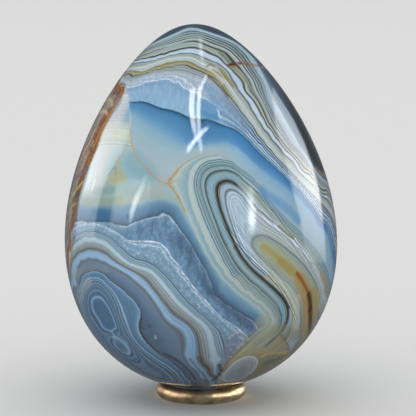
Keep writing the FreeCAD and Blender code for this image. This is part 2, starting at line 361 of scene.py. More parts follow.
# Below 0 the stops lie on the clear rim along the top and right edges: their near-black colours are partly
# the smoky skin's own and partly painted shade, and the lighter stop at -3.8 is partly a painted highlight
# along the rim.
crownColours = [
    (-62, "#2f3a44"), (-54, "#3f5261"), (-48, "#56707f"), (-44, "#7b95a3"), (-43, "#b9cad3"),
    (-42, "#5f7683"), (-38, "#4b6373"), (-34, "#6d8799"), (-31, "#8fa6b3"), (-30.2, "#c3d1d8"),
    (-29.4, "#8298a5"), (-27.5, "#4d606d"), (-26, "#73899a"), (-24.8, "#3b4853"), (-22, "#4b5b67"),
    (-20, "#2d3740"), (-17.5, "#3d4b57"), (-15, "#1f252b"), (-11, "#272f37"), (-9.4, "#2f3943"),
    (-8, "#3a4854"), (-6.5, "#4f6673"), (-5.6, "#303e4a"), (-4.6, "#2b3a47"), (-3.8, "#4a6172"),
    (-3, "#2f3f4d"), (-2, "#3d5a70"), (-1.1, "#38556b"), (-0.5, "#86a6b6"), (0.3, "#bad8e4"),
    (1.4, "#a5c1cd"), (2, "#9ab3be"), (2.5, "#5c6a72"), (2.9, "#667479"), (3.4, "#a3b9c1"),
    (4.1, "#99aeb4"), (4.6, "#3c464c"), (5.3, "#454f53"), (5.8, "#aabfc3"), (6.6, "#9fb3b7"),
    (7.1, "#3c4645"), (7.8, "#454e4d"), (8.3, "#afc1c4"), (9, "#a5b7b9"), (9.5, "#373f3e"),
    (10.3, "#454e4c"), (10.9, "#b8c8cb"), (12.2, "#a9b9ba"), (13.1, "#8d9890"), (13.5, "#3a3629"),
    (14.2, "#4a4538"), (14.7, "#9fafa9"), (15.3, "#a9b9b3"), (15.8, "#727b70"), (16.3, "#abbbba"),
    (17.2, "#afbfbf"), (17.8, "#99a391"), (18.2, "#444941"), (18.9, "#4f554e"), (19.4, "#a5bdd2"),
    (20.6, "#c0d5e9"), (21.8, "#aac0d2"), (22.4, "#5b6663"), (23, "#6a7570"), (23.6, "#a1afa8"),
    (24.6, "#a5b3ac"), (25.1, "#78847c"), (25.7, "#a6b5b1"), (26.6, "#acbab8"), (27.1, "#858e80"),
    (27.7, "#b4c4c4"), (29.4, "#cbd8de"), (30.2, "#9aa59f"), (30.8, "#b8c8cc"), (31.5, "#b3c3c5"),
    (32.2, "#a3a88f"), (32.9, "#87825f"), (33.6, "#8c8764"), (34.2, "#9c9a80"), (34.9, "#a2a592"),
    (35.4, "#8d8a70"), (35.8, "#554d36"), (36.5, "#5c543f"), (37, "#8d9892"), (38, "#9cacb3"),
    (38.6, "#82929a"), (39.4, "#a0b0b9"), (40.2, "#8c9ba2"), (41, "#97a4a8"), (41.8, "#b0bfcb"),
    (42.6, "#9dadba"), (43.4, "#b0bfcb"), (44.4, "#9cadbb"), (45.4, "#a9bac8"), (46, "#d3dfe9"),
    (46.8, "#93a9be"), (48, "#a7bace"), (49, "#9fb4c9"), (49.7, "#dbe7f1"), (50.7, "#86a3bf"),
    (53, "#7fa1c0"), (56, "#86a9c6"), (60, "#89adca"), (66, "#8aaecb"), (71, "#88aeca"), (72.6, "#93b6ce"),
    (73.4, "#4a728f"), (74.2, "#1a3f58"), (75.6, "#396d95"), (79, "#4a80ac"), (87, "#5789b3"),
    (95, "#6798bd"), (104, "#82a8be"), (118, "#96b2be"), (140, "#9fb2b8"), (160, "#a5a5a8"),
]
# the same bands where they run down the right side, pinched together and whiter. Their near-black stops
# below 0, on the clear rim, are partly the smoky skin's own colour and partly painted shade.
crownTailColours = [
    (-62, "#39495a"), (-54, "#4f6b80"), (-49, "#7292a6"), (-45, "#a3bac6"), (-44, "#d0dce2"),
    (-43, "#7a909d"), (-38, "#57707f"), (-34, "#7c98a9"), (-31, "#a3b7c2"), (-30.2, "#cfdadf"),
    (-29.4, "#8298a5"), (-27.5, "#566b79"), (-26, "#7d95a5"), (-24.8, "#43525e"), (-22, "#4f6270"),
    (-19, "#2d3740"), (-15, "#1f252b"), (-11, "#272f37"), (-8, "#3a4854"), (-5.6, "#3f5566"),
    (-3, "#4d6b80"), (-0.6, "#7d9bb0"), (0.3, "#b5c8d4"), (2, "#a3b7c4"), (3.4, "#aebfca"),
    (4.3, "#a6b7c1"), (4.9, "#59656c"), (5.5, "#626e75"), (6.1, "#b0c0c9"), (7, "#a6b6be"),
    (7.5, "#525e64"), (8.1, "#5c686d"), (8.7, "#adbcc3"), (9.6, "#a3b2b8"), (10.1, "#4c5659"),
    (10.7, "#566063"), (11.3, "#b2c0c5"), (13.4, "#a0aead"), (14.4, "#8d9892"), (15.1, "#4a493f"),
    (15.8, "#504e43"), (16.4, "#abb5a6"), (17.6, "#b9c4bc"), (18.3, "#505650"), (19, "#626a65"),
    (19.6, "#b5c8da"), (20.6, "#cfdfec"), (21.6, "#b0c2d1"), (22.3, "#56605e"), (23.1, "#6d7774"),
    (23.8, "#aeb8ab"), (24.7, "#95a19e"), (25.6, "#bac5bf"), (26.4, "#99a6a5"), (27.3, "#c0cccb"),
    (28.6, "#a3b1b5"), (29.5, "#cfdbe2"), (30.6, "#a3b1b6"), (31.7, "#c0cccd"), (33.4, "#b3bfba"),
    (34.4, "#a0a798"), (35.1, "#858571"), (35.6, "#28251f"), (36.5, "#242629"), (37, "#8da3b3"),
    (37.8, "#c3d5e3"), (38.8, "#8aa3b9"), (39.5, "#263a4f"), (40.7, "#354d67"), (41.5, "#96b1c9"),
    (42.6, "#b3cadf"), (43.7, "#668bb0"), (44.7, "#20456b"), (46.1, "#2f5783"), (47.5, "#7ea3c6"),
    (49.4, "#d3e2ef"), (51.5, "#a0b9d1"), (54, "#3f5a76"), (56.5, "#8aa7c0"), (59.6, "#bdd0e1"),
    (63, "#7b97b1"), (66, "#52718f"), (70, "#7798b6"), (72.4, "#86a7c4"), (73.8, "#274967"),
    (75.6, "#2d6a96"), (79, "#3c7aac"), (87, "#4a84b4"), (92, "#5b92bf"), (97, "#84aec9"), (108, "#8fb3c9"),
    (118, "#93b5c7"), (140, "#9ab5c2"), (160, "#9ab5c2"),
]
loopColours = [
    (-9, "#8fb0bd"), (-7.6, "#92b0b8"), (-6.8, "#a6bab8"), (-6.2, "#adbeb8"), (-5.4, "#9fb4b5"),
    (-3.6, "#94adb3"), (-2.4, "#8aa8b2"), (-0.8, "#87a5b2"), (0.2, "#9cb2b4"), (0.9, "#b2c2bc"),
    (1.7, "#a6b8b4"), (2.6, "#b3c2be"), (4, "#abbec0"), (5.5, "#9ab0b6"), (6.2, "#667c85"),
    (6.8, "#6d838c"), (7.4, "#8da7ad"), (8.4, "#93adb4"), (8.9, "#5d747d"), (9.5, "#677e88"),
    (10, "#8ba6ad"), (11, "#8aa5ac"), (11.5, "#5a6e73"), (12.1, "#8ba6ad"), (12.8, "#5c737c"),
    (13.4, "#657c85"), (14, "#8ca7ae"), (16.2, "#84a0a8"), (16.9, "#4f5852"), (17.9, "#525b56"),
    (18.5, "#6f8a92"), (19.5, "#7e9eab"), (22, "#83a6b5"), (25, "#7fa0ac"), (26.8, "#7d979b"),
    (27.8, "#646e66"), (28.6, "#454a46"), (29.4, "#4a4a3f"), (30, "#2b2a23"), (30.8, "#2f2f28"),
    (31.3, "#7a8587"), (31.9, "#4a5052"), (32.5, "#84979f"), (34, "#94aab8"), (36.6, "#9db2bf"),
    (37.2, "#47545d"), (37.8, "#5f6f79"), (38.3, "#9ab0be"), (38.7, "#667782"), (39.3, "#aec2d0"),
    (41.3, "#adc2d1"), (41.8, "#758a98"), (42.4, "#b1c7d6"), (44.6, "#adc4d4"), (45.1, "#879eae"),
    (45.7, "#b1c7d6"), (48, "#aec3d2"), (51, "#a9bcc8"), (54, "#a6b4b3"), (56.2, "#95a3a2"),
    (57.4, "#6c808a"), (58.6, "#7c8f95"), (60, "#91a1a0"), (63, "#96a297"), (66.5, "#a0a996"),
    (69.5, "#a2a482"), (72, "#9c9462"),
]
# the same bands on the loop's right limb, where they are pale
loopRightColours = [
    (3.5, "#93b5c8"), (5.8, "#8aabbc"), (6.3, "#5a6e76"), (6.8, "#647982"), (7.3, "#8eabb8"),
    (8.6, "#93b0be"), (9, "#5f757e"), (9.5, "#6d848d"), (10.1, "#90adba"), (11.4, "#8dabb7"),
    (11.8, "#6d8690"), (12.3, "#8faebb"), (13, "#5d7580"), (13.6, "#718b96"), (14.2, "#96b4c2"),
    (16.2, "#9cb8c3"), (17, "#6b716a"), (17.8, "#6d736a"), (18.7, "#a3babf"), (20.6, "#9bb0ad"),
    (23.2, "#8b9b91"), (25, "#a5b5b3"), (28, "#b5c6cc"), (29.4, "#c3d3de"), (30.4, "#8a98a0"),
    (31.3, "#b0c0c9"), (33, "#cdd9e4"), (35.4, "#c3d1db"), (37, "#84949b"), (38.2, "#b5c3c8"),
    (40.6, "#b3c1c3"), (41.8, "#8a9999"), (43, "#b5c3c3"), (46, "#b0bdba"), (47.4, "#8f9c99"),
    (48.8, "#b3bfba"), (52, "#aab6ae"), (55, "#9da99f"), (57, "#68787f"), (58.6, "#7b8d95"),
    (60, "#93a4a6"), (63.5, "#97a396"), (67, "#a0a996"), (70, "#a2a482"), (72, "#9c9462"),
]
slateColours = [
    (-24, "#6684a0"), (-14, "#6787a3"), (-7, "#61809c"), (-4, "#6686a1"), (-2, "#6a8aa4"), (-1, "#7392aa"),
    (-0.6, "#b3c5d2"), (-0.1, "#8aa0b0"), (0.4, "#3f596e"), (1.3, "#4b6a83"), (2.6, "#537590"),
    (4.6, "#5a7e9a"), (6.6, "#6289a4"), (8.4, "#7095aa"), (10.5, "#8fabb3"), (14, "#98aea9"),
    (18, "#98b4bb"), (26, "#8fb0b9"), (34, "#9fb5b6"), (40, "#a9bab3"), (47, "#b5beab"), (53, "#90a6a5"),
    (56, "#6f8f9f"), (62, "#5f87a3"), (70, "#7ba3ba"), (76, "#a9c0c8"), (78, "#d3dde0"), (79.5, "#8496a0"),
    (84, "#9db0b3"), (88, "#7f9296"), (90, "#46575f"), (92, "#93a8b0"), (99, "#b3c3c6"), (103, "#8fa5ad"),
    (105, "#4f626c"), (107, "#8aa2ad"), (116, "#6f91a8"), (126, "#5680a3"), (138, "#7099b5"),
    (145, "#a3bac6"), (147, "#cdd9de"), (149, "#7a8d96"), (157, "#8d9f9f"), (165, "#a3ab98"),
    (172, "#8f9583"), (175, "#54564a"), (178, "#9aa393"), (190, "#8aa3ad"), (205, "#6d93ac"),
    (220, "#5b86a5"), (245, "#86a3ae"),
]
nestColours = [
    (-0.6, "#b3c6d8"), (0, "#d3e1ee"), (0.9, "#bccddd"), (1.7, "#7f9db5"), (3, "#8aa6bc"), (4.2, "#b3c9d9"),
    (5, "#88a5bb"), (8, "#7595ae"), (10, "#7d9db3"), (12.5, "#84a1b5"), (15, "#7591a8"), (17.6, "#7690a6"),
    (18.4, "#6a8295"), (19, "#4f6678"), (19.7, "#627a8c"), (20.2, "#a6bfd0"), (20.9, "#9ab4c5"),
    (21.3, "#56707f"), (21.9, "#62788a"), (22.4, "#9cb8c9"), (23, "#8ba6b6"), (23.5, "#5f7888"),
    (24.1, "#8faab9"), (25.1, "#71868f"), (25.8, "#a6c1cf"), (28, "#adc3d0"), (29.8, "#9fb5c1"),
    (30.8, "#8799a1"), (31.6, "#97a6aa"), (32.6, "#7f8c8f"), (33.5, "#96a1a2"), (34.5, "#75797a"),
    (35.3, "#84888a"), (36.3, "#5f605f"), (37.2, "#6d7980"), (38.3, "#7d98ad"), (40, "#8cadc9"),
    (42.5, "#94b5d1"), (45, "#88a8c2"), (46.4, "#738591"), (47.6, "#6a6d70"), (48.6, "#6a7783"),
    (50.4, "#6f8395"), (54, "#687f95"), (59, "#637a91"), (66, "#586d84"), (70, "#566a7f"),
    (71.2, "#4a433e"), (71.8, "#52504f"), (72.3, "#8fb4d3"), (73.4, "#7096b8"), (75, "#61839f"),
    (78.5, "#5a7b96"), (79.5, "#5c7c97"), (80, "#93b3cc"), (80.8, "#7c9ab4"), (81.5, "#4a5d71"),
    (82.4, "#86a2b8"), (83.2, "#6d899f"), (83.9, "#425669"), (84.8, "#6a879f"), (85.4, "#4f677c"),
    (86, "#6b89a1"), (86.8, "#819fb6"), (87.4, "#465b6d"), (88.2, "#66849b"), (88.8, "#486074"),
    (89.4, "#60819a"), (90.1, "#6989a2"), (90.7, "#465c6f"), (91.3, "#5c7c95"), (92.1, "#4e6a81"),
    (92.5, "#5f7f99"), (94.3, "#6f8ba5"), (95.2, "#4f6275"), (97, "#526a82"), (98.5, "#66839f"),
    (99.4, "#86accd"), (100.4, "#6d92b5"), (102, "#4f6e8d"), (106, "#506d8b"), (110, "#6f8288"),
]
khakiColours = [
    (-2, "#a3a187"), (0, "#a59e79"), (1.2, "#a39b72"), (2.6, "#a09a7a"), (5, "#a39f82"), (8, "#9b9778"),
    (12, "#8f8e76"), (16, "#8f8b62"), (20, "#787d70"),
]
rustColours = [
    (-1, "#c9b899"), (-0.2, "#a3663a"), (0.2, "#6b4230"), (0.8, "#a9744a"), (1.3, "#74452e"),
    (2, "#96603f"), (2.7, "#5f4a40"), (3.3, "#7d6a5c"), (4, "#8d8173"), (5.2, "#a39a8b"), (6, "#77716b"),
    (7.2, "#9b9488"), (9, "#6f6d6c"), (12, "#55585e"), (16, "#4a4c52"),
]
ovalGuides = [
    (0, [(222, 377), (228, 369), (234, 362.5), (241, 358.5), (248, 356.3), (255, 357), (258, 361),
         (257, 366), (253, 371.5), (247, 376), (240, 380), (230, 382)]),
    (8, [(238, 371), (244, 367)]),
    (-8, [(226, 356), (242, 349), (258, 349), (266, 360), (262, 372), (254, 380)]),
]
ovalColours = [
    (-1, "#b9bfc0"), (0, "#c6cccf"), (1.2, "#bcc4c8"), (2, "#9aa4ac"), (3, "#a9b2b8"), (4.2, "#939ea6"),
    (6, "#9ba5ac"), (8, "#8d99a2"),
]

# Soft stains over the bands, with two painted highlights laid the same way (the near-white #dbe6ef and
# #e8eef2 strokes): colour, strength at the middle, half width in pixels, line in pixels
stainsAndHighlights = [
    ("#a3b5b6", 0.75, 2.4, [(148, 52), (170, 46), (180, 44), (190, 43.5), (200, 45)]),
    ("#9eb2b6", 0.5, 5, [(150, 46), (165, 40.5), (180, 36.5), (190, 35.5), (200, 36.5)]),
    ("#4d7a9c", 0.7, 1.4, [(186, 28), (191, 26), (197, 25.8)]),
    ("#c3d3e6", 0.8, 2.4, [(186, 50.5), (195, 51), (203, 53.5), (216, 60.5)]),
    ("#9aa79c", 0.6, 1.2, [(150, 72.5), (178, 65.3), (184, 65)]),
    ("#8a8a68", 0.6, 1.2, [(165, 70.5), (175, 70), (184, 71), (190, 72.5), (196, 75)]),
    ("#7397b8", 0.75, 7, [(208, 88), (229, 109), (244, 126)]),
    ("#8fa6bd", 0.6, 2.2, [(207, 83), (213, 88), (221, 97), (239, 119)]),
    ("#7f8d9c", 0.55, 3, [(224, 99), (238, 116), (245, 125)]),
    ("#5f90b8", 0.8, 7, [(203, 106), (209, 108), (214, 113)]),
    ("#4c83b0", 0.7, 3.5, [(202, 114), (209, 117), (216, 117)]),
    # painted highlight: a thin white glint stroke over the frosted band, not a colour of the stone
    ("#dbe6ef", 0.8, 0.7, [(217, 109.5), (219, 112), (218.5, 115), (221, 118)]),
    ("#5d7c93", 0.7, 5, [(281, 102), (304, 147)]),
    ("#5d94c2", 0.75, 4.5, [(262, 191), (268, 196), (284, 206), (291, 212), (298, 220)]),
    ("#565c50", 0.5, 3.4, [(221, 53), (227, 59), (233, 66)]),
    ("#8c8656", 0.45, 3.0, [(231, 66), (236, 70), (240.5, 75.5), (244, 81)]),
    ("#8c7a30", 0.6, 2.2, [(213, 70.5), (218, 73), (224, 76.5), (229, 81), (233, 86)]),
    ("#93832f", 0.75, 1.6, [(220, 69.5), (223.5, 73.5), (227, 78.5)]),
    ("#dfe5ee", 0.4, 1.5, [(209, 68), (213, 72), (218, 77), (223, 83)]),
    ("#b09a45", 0.8, 0.9, [(208.5, 71), (212, 74), (216, 78), (222, 85)]),
    ("#9a5a38", 0.55, 1.6, [(228, 65.5), (236, 64.5), (245, 63.5), (254, 65), (260, 66)]),
    ("#5f4420", 0.85, 1.0, [(207, 75), (212, 79), (222, 89.2), (228, 97)]),
    ("#8f5a34", 0.8, 1.0, [(207, 66), (210, 64.8), (214, 65.5)]),
    ("#3f2a1c", 0.9, 1.2, [(228.5, 65.3), (231.5, 64), (235, 64)]),
    ("#6b2f1c", 0.9, 1.2, [(238.5, 63), (241, 63.5)]),
    ("#8f4a2a", 0.8, 1.3, [(243, 61.5), (245, 64), (248, 65.5)]),
    ("#a86a3c", 0.85, 1.3, [(251.5, 63.5), (253.5, 66)]),
    ("#7d5a45", 0.8, 0.9, [(256, 65.5), (260, 66.5)]),
    ("#d9b090", 0.9, 0.9, [(262, 67), (266, 68.5), (271, 71)]),
    ("#adaeab", 0.65, 12, [(121, 104), (104, 152), (95, 182)]),
    ("#7fa5b0", 0.7, 10, [(133, 160), (147, 174)]),
    ("#aea560", 0.4, 3.4, [(117, 159), (118.5, 166), (119, 172)]),
    ("#aea560", 0.45, 5.5, [(113, 178), (118, 175), (121, 177)]),
    ("#aea560", 0.35, 4.5, [(106, 182), (124, 180)]),
    ("#857a48", 0.55, 0.9, [(108, 176), (112, 170), (115.5, 167), (116, 175)]),
    ("#7c9893", 0.75, 4, [(95, 191), (104, 191), (112, 190)]),
    ("#8a9a86", 0.75, 4.5, [(84, 202), (108, 202), (120, 201)]),
    ("#b0a398", 0.35, 7, [(152, 190), (160, 188)]),
    ("#b3b292", 0.3, 4, [(120, 201), (130, 200), (140, 200)]),
    ("#2f5870", 0.75, 1.6, [(88, 221), (98, 220.5), (108, 222), (118, 225)]),
    ("#3f6e92", 0.6, 5, [(92, 215), (104, 215.5)]),
    ("#6b6430", 0.85, 1.3, [(279, 226), (288, 234.5), (293, 238)]),
    ("#5c5348", 0.8, 1.1, [(254, 204), (255.5, 207)]),
    ("#5c5348", 0.65, 1.2, [(257, 209.5), (261, 212), (273, 222)]),
    ("#a3975a", 0.8, 2.2, [(263, 246), (270, 251), (286, 266)]),
    ("#a08f4c", 0.8, 4, [(280, 261), (301, 279)]),
    ("#bcbda0", 0.7, 3.6, [(268, 276), (277, 282.5), (286, 292), (292, 303), (293.5, 318), (291, 334)]),
    ("#a9b1a0", 0.35, 6, [(238, 281), (266, 305), (274, 318), (268, 331)]),
    ("#7fa6c0", 0.2, 4.5, [(208, 268), (218, 280), (254, 311)]),
    ("#46536c", 0.65, 4.5, [(212, 292), (240, 317), (251, 326)]),
    ("#2f6286", 0.6, 5, [(95, 213), (103, 213), (111, 215)]),
    ("#6b5f58", 0.8, 2.2, [(79.5, 190), (76, 203), (70.5, 231)]),
    ("#8b9590", 0.4, 3.2, [(66, 304), (69, 288), (76, 274.5), (86, 268.5), (97, 267.5), (106, 270)]),
    ("#466078", 0.6, 7, [(176, 237), (188, 250), (197, 264), (206, 279), (212, 288)]),
    ("#928c68", 0.65, 8, [(252, 339), (266, 333), (281, 331), (297, 335)]),
    ("#86abcf", 0.65, 3.2, [(176, 323), (183, 328), (189.5, 336), (191, 346), (188.5, 355)]),
    ("#9aa4a6", 0.45, 5, [(78, 300), (82, 289), (89, 281)]),
    ("#a9a98c", 0.55, 7, [(262, 322), (272, 330), (264, 340), (252, 347)]),
    ("#c3bf9c", 0.5, 3.5, [(297, 298), (298, 312), (296, 328)]),
    ("#c0b283", 0.5, 3, [(319, 292), (319, 304), (316, 316)]),
    ("#98a69f", 0.45, 3, [(230, 247), (237, 259), (250, 274), (262, 286), (272, 296), (278, 306)]),
    ("#2c2c27", 0.75, 1.4, [(235, 247), (241, 256.5), (250.5, 267.5), (263, 279), (275.5, 290),
         (284, 298.5), (289, 308)]),
    ("#b5b89f", 0.45, 3, [(262, 262), (273, 272), (284, 281), (292, 290), (297, 301)]),
    ("#a98f4f", 0.75, 7, [(300, 280), (307, 294), (310, 312), (308, 330), (303, 345)]),
    ("#ae8d48", 0.7, 2.6, [(303, 291), (304.5, 305), (304, 320), (300, 336)]),
    ("#b08f4a", 0.7, 2.6, [(314, 288), (317, 302), (315, 316), (312, 328)]),
    ("#8a4a35", 0.9, 1.8, [(297, 273.5), (301, 279), (307.5, 291)]),
    ("#40211a", 0.95, 3.2, [(308.6, 294), (309.8, 301), (310.2, 309)]),
    ("#4f2a1e", 0.9, 3.4, [(310, 309), (310.3, 317), (310, 325), (309, 333)]),
    ("#b87b46", 0.85, 2.4, [(283, 357), (290, 352.5), (298, 345.5), (305, 338.5), (312, 329)]),
    ("#c08c45", 0.85, 1.6, [(321.5, 272), (324, 279), (326, 287), (327, 294)]),
    ("#c3b884", 0.8, 1.5, [(262, 356.5), (269, 353), (287, 352)]),
    ("#65746e", 0.75, 4, [(266, 363), (281, 357.5)]),
    ("#5c4a33", 0.7, 0.9, [(281, 335), (285, 340), (288, 346), (288.5, 351)]),
    ("#94784a", 0.85, 2.2, [(247.5, 342), (233, 355.5), (226.5, 363.5), (223, 371)]),
    ("#7f8196", 0.6, 7, [(238, 338), (227, 353)]),
    ("#3f3417", 0.85, 1.8, [(219.5, 365), (221.5, 371), (217, 377), (212, 381)]),
    ("#54493a", 0.6, 3, [(199, 358), (206, 366), (213, 376)]),
    ("#352b27", 0.85, 1.2, [(164, 353.5), (174, 358), (183, 364.5), (190, 371.5), (196, 380)]),
    ("#352b27", 0.8, 1.1, [(190, 359), (202, 373), (208, 381)]),
    ("#46423f", 0.7, 0.8, [(141, 333), (146, 342.5), (154, 350.5), (165, 359), (176, 365.5), (186, 374.5)]),
    ("#8a4a2c", 0.85, 2.2, [(70.5, 241), (70.5, 250)]),
    ("#8f7f45", 0.75, 2.4, [(74, 239), (71.5, 252), (71.5, 266)]),
    ("#99583a", 0.55, 1.4, [(123, 92), (118, 102), (112, 111), (102, 129), (98, 138), (91, 158)]),
    ("#b07a3c", 0.75, 1.4, [(114, 110), (108, 120), (103, 130), (99.5, 139), (97, 147)]),
    ("#978d80", 0.75, 2, [(105, 109), (99, 117), (94, 126), (89, 137), (81, 160)]),
    ("#b9ad5c", 0.9, 1.3, [(68.5, 203), (72, 196), (77, 189), (83, 182)]),
    ("#a8a05a", 0.85, 1.3, [(67.5, 215), (71, 208), (76, 203)]),
    ("#c3b595", 0.95, 1.7, [(90, 130), (95.5, 118), (100, 112.5), (105, 111), (107, 114)]),
    ("#c3b595", 0.95, 1.6, [(106.5, 101), (109.5, 99), (112, 101.5), (112, 105.5)]),
    ("#9c5024", 0.9, 2.4, [(82, 157), (89.3, 144.5), (96.5, 132.7), (100, 123), (105, 116)]),
    ("#b3886c", 0.8, 2.2, [(75.6, 179), (82.4, 166.4), (89.3, 151.8)]),
    ("#ad7f60", 0.8, 2.0, [(76.5, 169), (83.8, 152.7), (89.3, 142.7)]),
    ("#c9b68a", 0.85, 1.6, [(79, 163), (85.5, 150), (91.5, 139), (95, 130)]),
    ("#c08a34", 0.85, 1.3, [(93.5, 148), (99, 134.5), (105.6, 121), (113.4, 109)]),
    ("#45474c", 0.75, 2.6, [(73, 200), (79, 193)]),
    ("#45474c", 0.75, 2.6, [(69, 224), (67, 238)]),
    ("#6a6670", 0.7, 2.8, [(76, 178), (82, 172), (87, 168)]),
    ("#71868f", 0.9, 4.6, [(117, 342), (124, 349.5)]),
    ("#8fb0c8", 0.8, 1.3, [(112, 337), (118, 337.5), (126, 343), (130, 350), (128, 355)]),
    ("#4f6f80", 0.85, 1.9, [(118.5, 344), (122, 347.5)]),
    ("#3f3b38", 0.85, 1.0, [(148.5, 325.5), (150, 326.5)]),
    ("#4d5660", 0.7, 1.4, [(141, 326), (144, 329)]),
    ("#c9d6e0", 0.9, 0.7, [(155, 336.5), (155.5, 338)]),
    ("#2f4c66", 0.8, 1.0, [(128, 215), (129, 219)]),
    # painted highlight: a white streak inside the left lamp's mirrored sheen
    ("#e8eef2", 0.6, 1.0, [(95, 180), (92, 190)]),
    ("#a08060", 0.7, 2.2, [(316, 169), (320, 173), (325, 176)]),
    ("#3f5062", 0.7, 0.9, [(319, 191), (330, 205)]),
    ("#3f5062", 0.7, 0.9, [(321, 202), (326, 209), (331, 217)]),
    ("#6f9bc0", 0.7, 4, [(327, 224), (330, 236), (332, 248)]),
]
veins = [
    (0.8, 4, [(131, 140), (133.5, 150), (137, 158), (143, 165), (150, 172), (157, 178.5), (162, 182.5),
         (168, 184)]),
    (0.35, 4, [(126, 124), (129, 130), (131, 140)]),
    (1.0, 4, [(168, 184), (171, 180), (175, 174), (181, 166.5)]),
    (0.7, 4, [(189, 161), (196, 157.5), (202, 155.5), (207, 154.7)]),
    (1.0, 4, [(168, 184), (173, 188.5), (177, 194.5), (181, 202), (184, 209)]),
]

# Where the fine growth lines show strongly: strength, half width in pixels, line
fineLines = [
    (0.9, 10, [(240, 52), (252, 72), (265, 98), (280, 125)]),
    (0.35, 14, [(150, 52), (180, 45), (205, 48)]),
    (1.15, 16, [(228, 240), (240, 262), (262, 282), (280, 300), (285, 320)]),
    (0.8, 10, [(262, 205), (290, 235), (310, 260)]),
    (0.5, 20, [(120, 262), (150, 290), (185, 330)]),
    (0.7, 10, [(120, 335), (150, 358), (180, 376)]),
]


def splineKernel(a, b):
    # thin-plate kernel: r^2 log r between each point of a and each point of b
    squared = np.clip((a**2).sum(1)[:, None] + (b**2).sum(1)[None] - 2 * a @ b.T, 1e-9, None)
    return squared * np.log(squared) / 2


def fieldThrough(guides, places, give=0.15):
    # smooth number over space that takes each guide line's value on it: a thin-plate spline, which is a sum
    # of kernels round the guide points plus a plane, with a little give so that it doesn't ripple
    anchors = dropOnEgg(np.concatenate([np.array(line, float) for _, line in guides]))
    values = np.concatenate([np.full(len(line), value, float) for value, line in guides])
    count = len(anchors)
    system = np.zeros((count + 4, count + 4))
    system[:count, :count] = splineKernel(anchors, anchors) + give * np.eye(count)
    system[:count, count] = system[count, :count] = 1
    system[:count, count + 1:] = anchors
    system[count + 1:, :count] = anchors.T
    weights = np.linalg.solve(system, np.concatenate([values, np.zeros(4)]))
    return splineKernel(places, anchors) @ weights[:count] + weights[count] + places @ weights[count + 1:]


def distanceToLine(places, line):
    # shortest distance to a chain of straight runs, each point held between the run's two ends
    corners = dropOnEgg(line)
    nearest = np.full(len(places), np.inf)
    for start, end in zip(corners[:-1], corners[1:]):
        run = end - start
        along = np.clip((places - start) @ run / max(run @ run, 1e-9), 0, 1)
        nearest = np.minimum(nearest, np.linalg.norm(places - start - along[:, None] * run, axis=1))
    return nearest


def fade(share):
    # 0 at 0 to 1 at 1 with level ends: 3 s^2 - 2 s^3
    share = np.clip(share, 0, 1)
    return share * share * (3 - 2 * share)


def storeOnPoints(mesh, name, values):
    # one number for each point of a mesh, for its material to read
    mesh.attributes.new(name, "FLOAT", "POINT").data.foreach_set("value", values.astype(np.float32))


def closedGrid(name, points, bottom, top):
    # mesh from rings of points stacked from bottom to top, closed round each ring and to a point at each
    # pole. It gives back the object and all its points.
    rows, columns = points.shape[:2]
    corners = np.concatenate([points.reshape(-1, 3), [bottom, top]]) / 1000
    low = np.arange(rows - 1)[:, None] * columns + np.arange(columns)
    side = np.roll(np.arange(columns), -1)
    right = np.arange(rows - 1)[:, None] * columns + side
    quads = np.stack([low, right, right + columns, low + columns], -1).reshape(-1, 4)
    here = np.arange(columns)
    last = (rows - 1) * columns
    lowFan = np.stack([side, here, np.full(columns, rows * columns)], -1)
    topFan = np.stack([last + here, last + side, np.full(columns, rows * columns + 1)], -1)
    loops = np.concatenate([quads.ravel(), lowFan.ravel(), topFan.ravel()]).astype(np.int32)
    sizes = np.concatenate([np.full(len(quads), 4), np.full(2 * columns, 3)])
    mesh = bpy.data.meshes.new(name)
    mesh.vertices.add(len(corners))
    mesh.vertices.foreach_set("co", corners.ravel().astype(np.float32))
    mesh.loops.add(len(loops))
    mesh.loops.foreach_set("vertex_index", loops)
    mesh.polygons.add(len(sizes))
    mesh.polygons.foreach_set("loop_start", np.concatenate([[0], np.cumsum(sizes)[:-1]]).astype(np.int32))
    mesh.polygons.foreach_set("use_smooth", np.ones(len(sizes), bool))
    mesh.update(calc_edges=True)
    mesh.validate()
    return newObject(name, mesh), corners * 1000


def quadMesh(name, points, quads):
    # mesh from points in millimetres and the four corners of each face
    mesh = bpy.data.meshes.new(name)
    mesh.from_pydata((points.reshape(-1, 3) / 1000).tolist(), [], quads.reshape(-1, 4).tolist())
    return mesh


# Rows evenly spaced along the section, and columns closer together on the side that the camera sees
sectionTurn = np.linspace(-math.pi / 2, math.pi / 2, eggShape["samples"])
sectionPlaces = np.sin(sectionTurn)
sectionRun = np.hypot(np.diff(sectionRadius(sectionPlaces)), np.diff(sectionPlaces) * eggShape["length"] / 2)
sectionRun = np.concatenate([[0], np.cumsum(sectionRun)])
rowPlaces = np.interp(np.linspace(0, sectionRun[-1], eggShape["rows"] + 2)[1:-1], sectionRun, sectionPlaces)
turns = np.linspace(-math.pi, math.pi, eggShape["samples"])
inFront = fade((eggShape["frontTurn"] - np.abs(turns)) / eggShape["frontBlend"])
crowding = 1 + (eggShape["frontShare"] / (1 - eggShape["frontShare"]) - 1) * inFront
crowded = np.concatenate([[0], np.cumsum((crowding[1:] + crowding[:-1]) / 2)])
columnTurns = np.interp(np.arange(eggShape["columns"]) / eggShape["columns"] * crowded[-1], crowded, turns)
columnTurns = columnTurns - math.pi / 2
eggGrid = eggPoints(rowPlaces[:, None] + 0 * columnTurns, columnTurns + 0 * rowPlaces[:, None])
egg, skin = closedGrid("polished_egg", eggGrid, eggPoints(-1.0, 0.0), eggPoints(1.0, 0.0))
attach(egg, "egg")
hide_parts("agate_egg")
print("egg", len(skin), "points")

